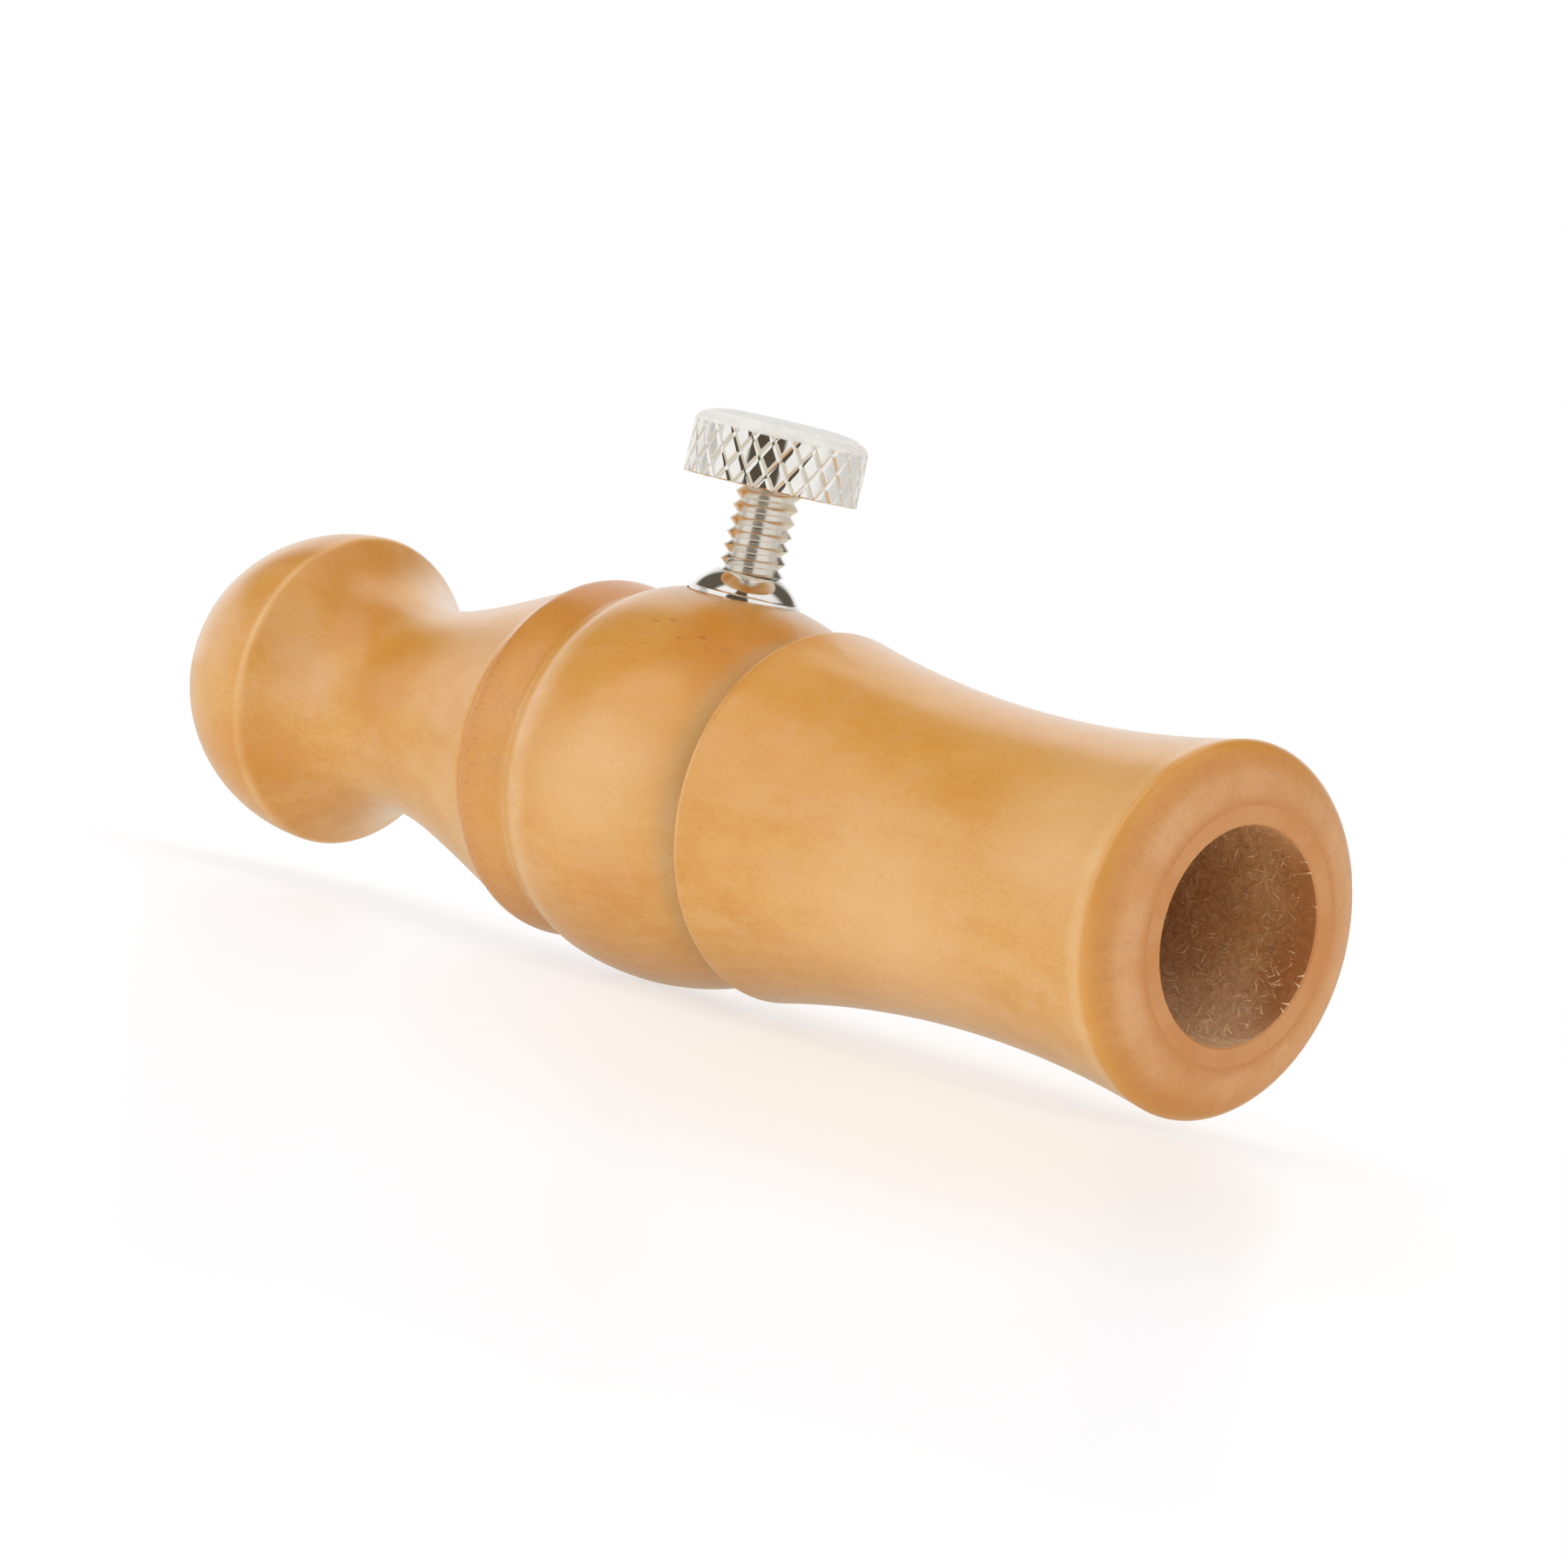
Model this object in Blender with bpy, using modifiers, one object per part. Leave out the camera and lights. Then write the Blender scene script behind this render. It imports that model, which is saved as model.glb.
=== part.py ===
"""A roe deer call: a turned wooden barrel and horn, with a reed that a thumbscrew tunes.

Metres, +Z up. The call lies along X with its bell at +X, and its thumbscrew points up.
The origin is on the surface that the call lies on, under the middle of its length.
"""

import math

import bmesh
import bpy

MM = 0.001

# Horn, from the bell face to the shoulder
HORN_LENGTH = 37.2 * MM
BELL_R = 11.7 * MM
BELL_FACE_R = 8.2 * MM
RIM_LENGTH = 2.0 * MM
RIM_POWER = 1.55
WAIST_R = 10.0 * MM
WAIST_FROM_BELL = 19.4 * MM
SHOULDER_R = 11.7 * MM
SHOULDER_ROUND = 0.5 * MM
HORN_BORE_R = 6.8 * MM

# Barrel, from the horn to the mouth
BALL_R = 12.5 * MM
BALL_MERIDIAN_R = 18.5 * MM
BALL_TO_HORN = 9.0 * MM
BALL_TO_RING = 6.4 * MM
BALL_EDGE = 1.3 * MM
GROOVE_R = 10.9 * MM
RING_R = 11.4 * MM
RING_WIDTH = 4.15 * MM
RING_STEP = 0.3 * MM
FLARE_R = 10.95 * MM
FLARE_LENGTH = 14.55 * MM
FLARE_KNEE = 0.28
NECK_R = 6.7 * MM
KNOB_COVE_LENGTH = 7.1 * MM
KNOB_R = 10.05 * MM
DOME_LENGTH = 9.2 * MM
MOUTH_FACE_R = 5.6 * MM
MOUTH_BORE_R = 2.2 * MM

# Tenon of the barrel in the socket of the horn
TENON_R = 8.2 * MM
TENON_LENGTH = 9.5 * MM
TENON_CHAMFER = 0.5 * MM
TENON_CLEARANCE = 0.3 * MM
SEAT_GAP = 0.3 * MM
SOCKET_END_GAP = 0.3 * MM
O_RING_GROOVE_DEPTH = 1.0 * MM
O_RING_GROOVE_WIDTH = 1.6 * MM
O_RING_GAP = 0.1 * MM
O_RING_SPACING = 4.2 * MM
O_RING_FROM_SEAT = 2.6 * MM

# Reed set in the chamber under the ball
CHAMBER_R = 5.0 * MM
CHAMBER_END_GAP = 2.5 * MM
PLUG_CLEARANCE = 0.15 * MM
REED_LEVER = 11.0 * MM
REED_BEYOND_SCREW = 7.0 * MM
REED_ROOT_LENGTH = 2.5 * MM
REED_WIDTH = 5.0 * MM
REED_THICKNESS = 0.35 * MM
REED_SEAT_HEIGHT = 1.1 * MM
REED_GAP = 0.1 * MM
TONEBOARD_PAST_TIP = 1.5 * MM
RAMP_MARGIN = math.radians(0.9)
CHANNEL_WIDTH = 2.4 * MM
CHANNEL_DEPTH = 3.4 * MM
CHANNEL_TO_TIP = 2.0 * MM
COLLAR_LENGTH = 2.0 * MM
WEDGE_LENGTH = 4.6 * MM
WEDGE_RELIEF = 0.4 * MM
WEDGE_GAP = 0.25 * MM

# Bush and thumbscrew
SCREW_R = 2.05 * MM
THREAD_DEPTH = 0.4 * MM
THREAD_PITCH = 0.85 * MM
SCREW_TURNS = 1.5
SCREW_CLEARANCE = 0.15 * MM
BUSH_R = 3.0 * MM
BUSH_CLEARANCE = 0.1 * MM
BUSH_ABOVE_CHAMBER = 0.2 * MM
FLANGE_R = 3.6 * MM
FLANGE_HEIGHT = 1.4 * MM
FLANGE_TOP_LAND = 0.2 * MM
FLANGE_SINK = 0.5 * MM
HEAD_R = 5.55 * MM
HEAD_HEIGHT = 3.5 * MM
HEAD_CHAMFER = 0.35 * MM
HEAD_CROWN = 0.9 * MM
HEAD_ABOVE_FLANGE = 5.7 * MM
KNURL_DIAMONDS = 26
KNURL_ROWS = 7
KNURL_DEPTH = 0.12 * MM
NOSE_R = 1.2 * MM
NOSE_LENGTH = 1.5 * MM
FOOT_R = 2.3 * MM
FOOT_STOP_GAP = 0.3 * MM
FOOT_CLEARANCE = 0.15 * MM

# Facets of round pieces
TURNED_STEPS = 40
SMALL_STEPS = 24
THREAD_STEPS = 16

# Stations along the call, worked out from the lengths above
BARREL_LENGTH = (BALL_TO_HORN + BALL_TO_RING + RING_WIDTH + FLARE_LENGTH
                 + KNOB_COVE_LENGTH + DOME_LENGTH)
BELL_X = (HORN_LENGTH + SEAT_GAP + BARREL_LENGTH) / 2
SHOULDER_X = BELL_X - HORN_LENGTH
SEAT_X = SHOULDER_X - SEAT_GAP
TENON_END_X = SEAT_X + TENON_LENGTH
SCREW_X = SEAT_X - BALL_TO_HORN
GROOVE_X = SCREW_X - BALL_TO_RING
RING_END_X = GROOVE_X - RING_WIDTH
NECK_X = RING_END_X - FLARE_LENGTH
KNOB_X = NECK_X - KNOB_COVE_LENGTH
MOUTH_X = KNOB_X - DOME_LENGTH
CLAMP_X = SCREW_X + REED_LEVER
REED_TIP_X = SCREW_X - REED_BEYOND_SCREW
TONEBOARD_TIP_X = REED_TIP_X - TONEBOARD_PAST_TIP
CHAMBER_END_X = TONEBOARD_TIP_X - CHAMBER_END_GAP
WEDGE_END_X = CLAMP_X + WEDGE_LENGTH
COLLAR_X = WEDGE_END_X + WEDGE_GAP
PLUG_END_X = COLLAR_X + COLLAR_LENGTH

# Heights above the surface
AXIS_Z = max(BALL_R, BELL_R, SHOULDER_R, RING_R, KNOB_R)
SPOT_FACE_Z = AXIS_Z + BALL_R - FLANGE_SINK
FLANGE_TOP_Z = SPOT_FACE_Z + FLANGE_HEIGHT
BUSH_BOTTOM_Z = AXIS_Z + CHAMBER_R + BUSH_ABOVE_CHAMBER
HEAD_Z = FLANGE_TOP_Z + HEAD_ABOVE_FLANGE
REED_SEAT_Z = AXIS_Z + REED_SEAT_HEIGHT
REED_Z = REED_SEAT_Z + REED_GAP
REED_TOP_Z = REED_Z + REED_THICKNESS
FOOT_BOTTOM_Z = REED_TOP_Z + REED_GAP
FOOT_TOP_Z = BUSH_BOTTOM_Z - FOOT_STOP_GAP
SHANK_END_Z = FOOT_TOP_Z + FOOT_CLEARANCE

# Fits
SOCKET_R = TENON_R + TENON_CLEARANCE
SOCKET_DEPTH = SEAT_GAP + TENON_LENGTH + SOCKET_END_GAP
O_RING_FLOOR_R = TENON_R - O_RING_GROOVE_DEPTH
O_RING_SECTION_R = (SOCKET_R - O_RING_FLOOR_R) / 2 - O_RING_GAP
O_RING_R = (SOCKET_R + O_RING_FLOOR_R) / 2
PLUG_R = CHAMBER_R - PLUG_CLEARANCE
CORE_R = SCREW_R - THREAD_DEPTH
SCREW_TRAVEL = SCREW_TURNS * THREAD_PITCH
RAMP = SCREW_TRAVEL / REED_LEVER + RAMP_MARGIN

PAST = 1.0 * MM  # how far a cutter runs past the faces it opens


def clear_scene():
    for old in list(bpy.data.objects):
        bpy.data.objects.remove(old, do_unlink=True)


def new_collection(name):
    made = bpy.data.collections.new(name)
    bpy.context.scene.collection.children.link(made)
    return made


def new_material(name, colour, roughness, metallic=0.0):
    made = bpy.data.materials.new(name)
    made.use_nodes = True
    shader = made.node_tree.nodes["Principled BSDF"]
    shader.inputs["Base Color"].default_value = (*colour, 1.0)
    shader.inputs["Roughness"].default_value = roughness
    shader.inputs["Metallic"].default_value = metallic
    return made


def new_empty(name, location, collection, parent=None):
    made = bpy.data.objects.new(name, None)
    made.location = location
    made.empty_display_size = BALL_R
    made.parent = parent
    collection.objects.link(made)
    return made


def move_to(obj, collection):
    for holder in list(obj.users_collection):
        holder.objects.unlink(obj)
    collection.objects.link(obj)


def place(obj, collection, material, parent):
    """Puts a finished piece in its collection, under the empty that carries it."""
    move_to(obj, collection)
    obj.data.materials.clear()
    obj.data.materials.append(material)
    obj.parent = parent
    return obj


def as_cutter(obj, collection):
    move_to(obj, collection)
    obj.hide_render = True
    obj.display_type = "WIRE"
    return obj


def joined_or_cut(obj, tool, operation):
    modifier = obj.modifiers.new(f"{operation.lower()} {tool.name}", "BOOLEAN")
    modifier.operation = operation
    modifier.object = tool


def turned(name, outline, closed, steps=TURNED_STEPS):
    """Turns an outline of (height, radius) points about local Z. The outer side runs from top to bottom."""
    mesh = bpy.data.meshes.new(name)
    count = len(outline)
    edges = [(i, (i + 1) % count) for i in range(count if closed else count - 1)]
    mesh.from_pydata([(radius, 0, height) for height, radius in outline], edges, [])
    obj = bpy.data.objects.new(name, mesh)
    bpy.context.scene.collection.objects.link(obj)
    screw = obj.modifiers.new("turn", "SCREW")
    screw.steps = steps
    screw.render_steps = steps
    screw.merge_threshold = 0.00001
    screw.use_merge_vertices = True
    screw.use_smooth_shade = True
    return obj


def lay_along_x(obj):
    """Lays a shape turned about local Z along the call's axis, with its top towards the bell."""
    obj.rotation_euler = (0, math.pi / 2, 0)
    obj.location = (0, 0, AXIS_Z)
    return obj


def rod(name, radius, start, end, steps=SMALL_STEPS):
    """A solid cylinder between two points of one line along X or Z."""
    middle = [(a + b) / 2 for a, b in zip(start, end)]
    along_x = start[0] != end[0]
    length = abs(end[0] - start[0]) if along_x else abs(end[2] - start[2])
    bpy.ops.mesh.primitive_cylinder_add(vertices=steps, radius=radius, depth=length, location=middle)
    obj = bpy.context.object
    obj.name = name
    if along_x:
        obj.rotation_euler = (0, math.pi / 2, 0)
    return obj


def block(name, low, high):
    bpy.ops.mesh.primitive_cube_add(size=1, location=[(a + b) / 2 for a, b in zip(low, high)])
    obj = bpy.context.object
    obj.name = name
    obj.scale = [b - a for a, b in zip(low, high)]
    return obj


def evaluated_mesh(obj):
    bpy.context.view_layer.update()
    graph = bpy.context.evaluated_depsgraph_get()
    return bpy.data.meshes.new_from_object(obj.evaluated_get(graph))


def mesh_of(curve):
    """The closed mesh of a curve object, in the curve's place."""
    mesh = evaluated_mesh(curve)
    shape = bmesh.new()
    shape.from_mesh(mesh)
    bmesh.ops.remove_doubles(shape, verts=shape.verts, dist=0.000001)
    bmesh.ops.recalc_face_normals(shape, faces=shape.faces)
    shape.to_mesh(mesh)
    shape.free()
    obj = bpy.data.objects.new(curve.name, mesh)
    bpy.context.scene.collection.objects.link(obj)
    obj.matrix_world = curve.matrix_world
    bpy.data.objects.remove(curve)
    return obj


def flat_outline(name, outline, half_thickness):
    """A closed outline in local XY, thickened both ways along local Z."""
    data = bpy.data.curves.new(name, "CURVE")
    data.dimensions = "2D"
    data.fill_mode = "BOTH"
    data.extrude = half_thickness
    spline = data.splines.new("POLY")
    spline.points.add(len(outline) - 1)
    for point, (x, y) in zip(spline.points, outline):
        point.co = (x, y, 0, 1)
    spline.use_cyclic_u = True
    obj = bpy.data.objects.new(name, data)
    bpy.context.scene.collection.objects.link(obj)
    return obj


def stretch(start, end, rise, count):
    """Points after start, up to end, where rise(t) is the share of the change in radius at t from 0 to 1."""
    (x0, r0), (x1, r1) = start, end
    shares = [i / count for i in range(1, count + 1)]
    return [(x0 + (x1 - x0) * t, r0 + (r1 - r0) * rise(t)) for t in shares]


def cove_up(t):
    return t * t


def cove_down(t):
    return 1 - (1 - t) ** 2


def flare(t):
    """Share of the neck's flare at t from the ring to the narrowest place: a hyperbola."""
    straight = 1 - t
    reach = math.hypot(FLARE_KNEE, 1) - FLARE_KNEE
    return 1 - (math.hypot(FLARE_KNEE, straight) - FLARE_KNEE) / reach


def quarter_round(centre, along, across, count, to_peak, power=2.0):
    """Points of a quarter ellipse after its start: towards its widest place, or down from it.

    A power under 2 makes it flatter between its ends.
    """
    points = []
    for i in range(1, count + 1):
        angle = math.pi / 2 * (i / count if to_peak else 1 - i / count)
        reach = along * max(math.cos(angle), 0.0) ** (2 / power)
        rise = across * math.sin(angle) ** (2 / power)
        points.append((centre[0] + (reach if to_peak else -reach), centre[1] + rise))
    return points


def ball_point(x):
    drop = BALL_MERIDIAN_R - math.sqrt(BALL_MERIDIAN_R ** 2 - (x - SCREW_X) ** 2)
    return x, BALL_R - drop


def horn_outline():
    rim = (BELL_X - RIM_LENGTH, BELL_R)
    waist = (BELL_X - WAIST_FROM_BELL, WAIST_R)
    edge = (SHOULDER_X + SHOULDER_ROUND, SHOULDER_R)
    outline = [(BELL_X, BELL_FACE_R)]
    outline += quarter_round((rim[0], BELL_FACE_R), RIM_LENGTH, BELL_R - BELL_FACE_R, 6, True, RIM_POWER)
    outline += stretch(rim, waist, cove_down, 7)
    outline += stretch(waist, edge, cove_up, 7)
    outline += quarter_round((edge[0], SHOULDER_R - SHOULDER_ROUND), SHOULDER_ROUND, SHOULDER_ROUND, 3, False)
    floor_x = SHOULDER_X + SOCKET_DEPTH - SEAT_GAP
    outline += [(SHOULDER_X, SOCKET_R), (floor_x, SOCKET_R), (floor_x, HORN_BORE_R), (BELL_X, HORN_BORE_R)]
    return outline


def tenon_outline():
    outline = [(TENON_END_X, TENON_R - TENON_CHAMFER), (TENON_END_X - TENON_CHAMFER, TENON_R)]
    for centre in reversed(o_ring_places()):
        near, far = centre + O_RING_GROOVE_WIDTH / 2, centre - O_RING_GROOVE_WIDTH / 2
        outline += [(near, TENON_R), (near, O_RING_FLOOR_R), (far, O_RING_FLOOR_R), (far, TENON_R)]
    return outline + [(SEAT_X, TENON_R)]


def o_ring_places():
    first = SEAT_X + O_RING_FROM_SEAT
    return [first, first + O_RING_SPACING]


def barrel_outline():
    ball_steps = 12
    ball_length = SEAT_X - GROOVE_X - BALL_EDGE
    outline = tenon_outline()
    outline += [ball_point(SEAT_X - ball_length * i / ball_steps) for i in range(ball_steps + 1)]
    groove, crest, ring_end = (GROOVE_X, GROOVE_R), (RING_END_X + RING_STEP, RING_R), (RING_END_X, FLARE_R)
    outline += [groove] + stretch(groove, crest, cove_down, 4) + [ring_end]
    neck, knob = (NECK_X, NECK_R), (KNOB_X, KNOB_R)
    outline += stretch(ring_end, neck, flare, 8)
    outline += stretch(neck, knob, cove_up, 6)
    dome_reach = DOME_LENGTH / math.sqrt(1 - (MOUTH_FACE_R / KNOB_R) ** 2)
    dome_steps = 6
    for i in range(1, dome_steps + 1):
        along = math.asin(DOME_LENGTH / dome_reach) * i / dome_steps
        outline.append((KNOB_X - dome_reach * math.sin(along), KNOB_R * math.cos(along)))
    outline += [(MOUTH_X, MOUTH_BORE_R), (CHAMBER_END_X, MOUTH_BORE_R), (CHAMBER_END_X, CHAMBER_R)]
    outline.append((TENON_END_X, CHAMBER_R))
    return outline


def make_barrel(parts, cutters, wood, call):
    barrel = place(lay_along_x(turned("barrel", barrel_outline(), closed=True)), parts, wood, call)
    above = SPOT_FACE_Z + BALL_R
    hole = rod("bush_hole", BUSH_R + BUSH_CLEARANCE, (SCREW_X, 0, AXIS_Z), (SCREW_X, 0, above))
    spot = rod("spot_face", FLANGE_R + BUSH_CLEARANCE, (SCREW_X, 0, SPOT_FACE_Z), (SCREW_X, 0, above))
    for cutter in (hole, spot):
        joined_or_cut(barrel, as_cutter(cutter, cutters), "DIFFERENCE")


def make_horn(parts, wood, call):
    place(lay_along_x(turned("horn", horn_outline(), closed=True)), parts, wood, call)


def make_o_rings(parts, rubber, call):
    for name, x in zip(("inner_o_ring", "outer_o_ring"), o_ring_places()):
        bpy.ops.mesh.primitive_torus_add(
            major_radius=O_RING_R, minor_radius=O_RING_SECTION_R,
            major_segments=TURNED_STEPS, minor_segments=6,
            location=(x, 0, AXIS_Z), rotation=(0, math.pi / 2, 0))
        ring = bpy.context.object
        ring.name = name
        ring.data.shade_smooth()
        place(ring, parts, rubber, call)


def make_toneboard(parts, cutters, plastic, call):
    board = rod("toneboard", PLUG_R, (TONEBOARD_TIP_X, 0, AXIS_Z), (PLUG_END_X, 0, AXIS_Z))
    tip_x = TONEBOARD_TIP_X - PAST
    tip_z = REED_SEAT_Z - (CLAMP_X - tip_x) * math.tan(RAMP)
    roof_z = AXIS_Z + CHAMBER_R + PAST
    outline = [(COLLAR_X, roof_z), (COLLAR_X, REED_SEAT_Z), (CLAMP_X, REED_SEAT_Z)]
    outline += [(tip_x, tip_z), (tip_x, roof_z)]
    space = mesh_of(flat_outline("reed_space", outline, CHAMBER_R + PAST))
    space.rotation_euler = (math.pi / 2, 0, 0)
    half = CHANNEL_WIDTH / 2
    channel_z = REED_SEAT_Z - CHANNEL_DEPTH
    channel = block("channel", (REED_TIP_X + CHANNEL_TO_TIP, -half, channel_z), (COLLAR_X, half, roof_z))
    hole_z = channel_z + half
    hole = rod("channel_hole", half, (CLAMP_X, 0, hole_z), (PLUG_END_X + PAST, 0, hole_z))
    for cutter in (space, channel, hole):
        joined_or_cut(board, as_cutter(cutter, cutters), "DIFFERENCE")
    place(board, parts, plastic, call)


def make_reed(parts, brass, hinge):
    tip, half = REED_TIP_X - CLAMP_X, REED_WIDTH / 2
    round_steps = 8
    outline = [(REED_ROOT_LENGTH, -half), (REED_ROOT_LENGTH, half)]
    for i in range(round_steps + 1):
        angle = math.pi / 2 + math.pi * i / round_steps
        outline.append((tip + half + half * math.cos(angle), half * math.sin(angle)))
    reed = flat_outline("reed", outline, REED_THICKNESS / 2)
    reed.location = (0, 0, REED_THICKNESS / 2)
    place(reed, parts, brass, hinge)


def make_wedge(parts, cutters, plastic, call):
    wedge = rod("reed_wedge", PLUG_R, (CLAMP_X, 0, AXIS_Z), (WEDGE_END_X, 0, AXIS_Z))
    side = CHAMBER_R + PAST
    under = block("under_wedge", (CLAMP_X - PAST, -side, AXIS_Z - side),
                  (WEDGE_END_X + PAST, side, REED_TOP_Z + WEDGE_RELIEF))
    joined_or_cut(wedge, as_cutter(under, cutters), "DIFFERENCE")
    place(wedge, parts, plastic, call)


def make_bush(parts, plate, axis):
    bore = SCREW_R + SCREW_CLEARANCE
    land = bore + FLANGE_TOP_LAND
    outline = [(FLANGE_TOP_Z, bore)]
    dome_steps = 5
    for i in range(dome_steps + 1):
        share = 1 - i / dome_steps
        outline.append((SPOT_FACE_Z + FLANGE_HEIGHT * share, FLANGE_R - (FLANGE_R - land) * share ** 2))
    outline += [(SPOT_FACE_Z, BUSH_R), (BUSH_BOTTOM_Z, BUSH_R), (BUSH_BOTTOM_Z, bore)]
    place(turned("screw_bush", outline, closed=True, steps=SMALL_STEPS), parts, plate, axis)


def head_outline():
    top = HEAD_Z + HEAD_HEIGHT
    rim_top, rim_bottom = top - HEAD_CHAMFER, HEAD_Z + HEAD_CHAMFER
    edge = HEAD_R - HEAD_CHAMFER
    crown_steps, rows = 4, KNURL_ROWS - 1
    slopes = [math.pi / 2 * (1 - i / crown_steps) for i in range(crown_steps + 1)]
    outline = [(top + HEAD_CROWN * math.sin(slope), edge * math.cos(slope)) for slope in slopes[1:]]
    outline.insert(0, (top + HEAD_CROWN, 0))
    outline += [(rim_top + (rim_bottom - rim_top) * i / rows, HEAD_R) for i in range(rows + 1)]
    return outline + [(HEAD_Z, edge), (HEAD_Z, 0)]


def nose_outline():
    """The plain nose, from inside the thread to the screw's end."""
    root_z = SHANK_END_Z + 2 * THREAD_PITCH
    end_z = SHANK_END_Z - NOSE_LENGTH
    return [(root_z, 0), (root_z, NOSE_R), (end_z, NOSE_R), (end_z, 0)]


def knurl(obj):
    """Sets every second point of the head's rim in, which leaves a pattern of raised diamonds."""
    mesh = evaluated_mesh(obj)
    obj.modifiers.clear()
    obj.data = mesh
    rim_bottom = HEAD_Z + HEAD_CHAMFER
    row_height = (HEAD_HEIGHT - 2 * HEAD_CHAMFER) / (KNURL_ROWS - 1)
    for vertex in mesh.vertices:
        radius = math.hypot(vertex.co.x, vertex.co.y)
        if radius < HEAD_R - HEAD_CHAMFER / 2:
            continue
        row = round((vertex.co.z - rim_bottom) / row_height)
        column = round(math.atan2(vertex.co.y, vertex.co.x) / (math.pi / KNURL_DIAMONDS))
        if (row + column) % 2:
            inward = 1 - KNURL_DEPTH / radius
            vertex.co.x *= inward
            vertex.co.y *= inward


def threaded_shank():
    """One pitch of the thread's outline, screwed up the axis into the head, and closed at both ends."""
    crest_start, crest_end = 0.55 * THREAD_PITCH, 0.45 * THREAD_PITCH
    outline = [(THREAD_PITCH, CORE_R), (crest_start, SCREW_R), (crest_end, SCREW_R), (0, CORE_R)]
    outline = [(SHANK_END_Z + z, radius) for z, radius in outline]
    shank = turned("shank", outline, closed=False, steps=THREAD_STEPS)
    turn = shank.modifiers["turn"]
    turn.screw_offset = THREAD_PITCH
    turn.iterations = math.floor((HEAD_Z - SHANK_END_Z) / THREAD_PITCH) + 1
    mesh = evaluated_mesh(shank)
    shape = bmesh.new()
    shape.from_mesh(mesh)
    bmesh.ops.remove_doubles(shape, verts=shape.verts, dist=0.000001)
    middle = (SHANK_END_Z + HEAD_Z) / 2
    for above in (False, True):
        rim = [e for e in shape.edges if e.is_boundary and (e.verts[0].co.z > middle) == above]
        made = bmesh.ops.extrude_edge_only(shape, edges=rim)["geom"]
        cap = [v for v in made if isinstance(v, bmesh.types.BMVert)]
        height = sum(v.co.z for v in cap) / len(cap)
        bmesh.ops.pointmerge(shape, verts=cap, merge_co=(0, 0, height))
    bmesh.ops.recalc_face_normals(shape, faces=shape.faces)
    shape.to_mesh(mesh)
    shape.free()
    shank.modifiers.clear()
    shank.data = mesh
    return shank


def make_thumbscrew(parts, cutters, plate, axis):
    screw = turned("thumbscrew", head_outline(), closed=False, steps=2 * KNURL_DIAMONDS)
    knurl(screw)
    for piece in (threaded_shank(), turned("nose", nose_outline(), closed=False, steps=SMALL_STEPS)):
        piece.parent = axis
        joined_or_cut(screw, as_cutter(piece, cutters), "UNION")
    place(screw, parts, plate, axis)


def make_foot(parts, nylon, axis):
    socket_r = NOSE_R + FOOT_CLEARANCE
    socket_z = SHANK_END_Z - NOSE_LENGTH - FOOT_CLEARANCE
    dome_z = FOOT_BOTTOM_Z + FOOT_R
    outline = [(socket_z, 0), (socket_z, socket_r), (FOOT_TOP_Z, socket_r), (FOOT_TOP_Z, FOOT_R)]
    dome_steps = 6
    for i in range(dome_steps):
        angle = math.pi / 2 * i / dome_steps
        outline.append((dome_z - FOOT_R * math.sin(angle), FOOT_R * math.cos(angle)))
    outline.append((FOOT_BOTTOM_Z, 0))
    place(turned("screw_foot", outline, closed=False, steps=SMALL_STEPS), parts, nylon, axis)


def main():
    clear_scene()
    parts, cutters = new_collection("roe_deer_call"), new_collection("cutters")
    wood = new_material("lacquered_wood", (0.62, 0.33, 0.11), 0.35)
    plate = new_material("nickel_plate", (0.78, 0.77, 0.74), 0.15, 1.0)
    plastic = new_material("hard_plastic", (0.08, 0.08, 0.085), 0.4)
    brass = new_material("reed_brass", (0.75, 0.55, 0.25), 0.3, 1.0)
    nylon = new_material("nylon", (0.85, 0.83, 0.76), 0.5)
    rubber = new_material("rubber", (0.03, 0.03, 0.03), 0.7)

    call = new_empty("call", (0, 0, 0), parts)
    screw_axis = new_empty("screw_axis", (SCREW_X, 0, 0), parts, call)
    reed_hinge = new_empty("reed_hinge", (CLAMP_X, 0, REED_Z), parts, call)

    make_barrel(parts, cutters, wood, call)
    make_horn(parts, wood, call)
    make_o_rings(parts, rubber, call)
    make_toneboard(parts, cutters, plastic, call)
    make_reed(parts, brass, reed_hinge)
    make_wedge(parts, cutters, plastic, call)
    make_bush(parts, plate, screw_axis)
    make_thumbscrew(parts, cutters, plate, screw_axis)
    make_foot(parts, nylon, screw_axis)


main()
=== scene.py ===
import math

import bmesh
import bpy
from mathutils import Matrix, Vector


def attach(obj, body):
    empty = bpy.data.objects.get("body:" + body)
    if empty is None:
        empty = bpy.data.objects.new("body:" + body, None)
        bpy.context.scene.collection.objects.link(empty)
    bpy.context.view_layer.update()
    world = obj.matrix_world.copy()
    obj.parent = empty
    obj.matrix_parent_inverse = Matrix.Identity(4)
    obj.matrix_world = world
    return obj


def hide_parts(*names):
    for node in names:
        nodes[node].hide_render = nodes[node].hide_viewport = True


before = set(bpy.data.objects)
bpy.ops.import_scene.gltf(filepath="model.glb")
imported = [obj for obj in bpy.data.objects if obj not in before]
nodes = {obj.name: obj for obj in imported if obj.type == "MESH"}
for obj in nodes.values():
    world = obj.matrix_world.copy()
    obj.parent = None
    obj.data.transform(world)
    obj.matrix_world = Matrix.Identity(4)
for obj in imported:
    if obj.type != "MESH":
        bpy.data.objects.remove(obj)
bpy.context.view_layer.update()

mm = 0.001
inMillimetres = (1000, 1000, 1000)
weld = {"turned": 0.0000005, "thread": 0.000001, "sliver": 0.0000002}  # metres between points made one
scene = bpy.context.scene
print("frame loaded:", len(nodes), "nodes")


# node trees written as sums

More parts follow.
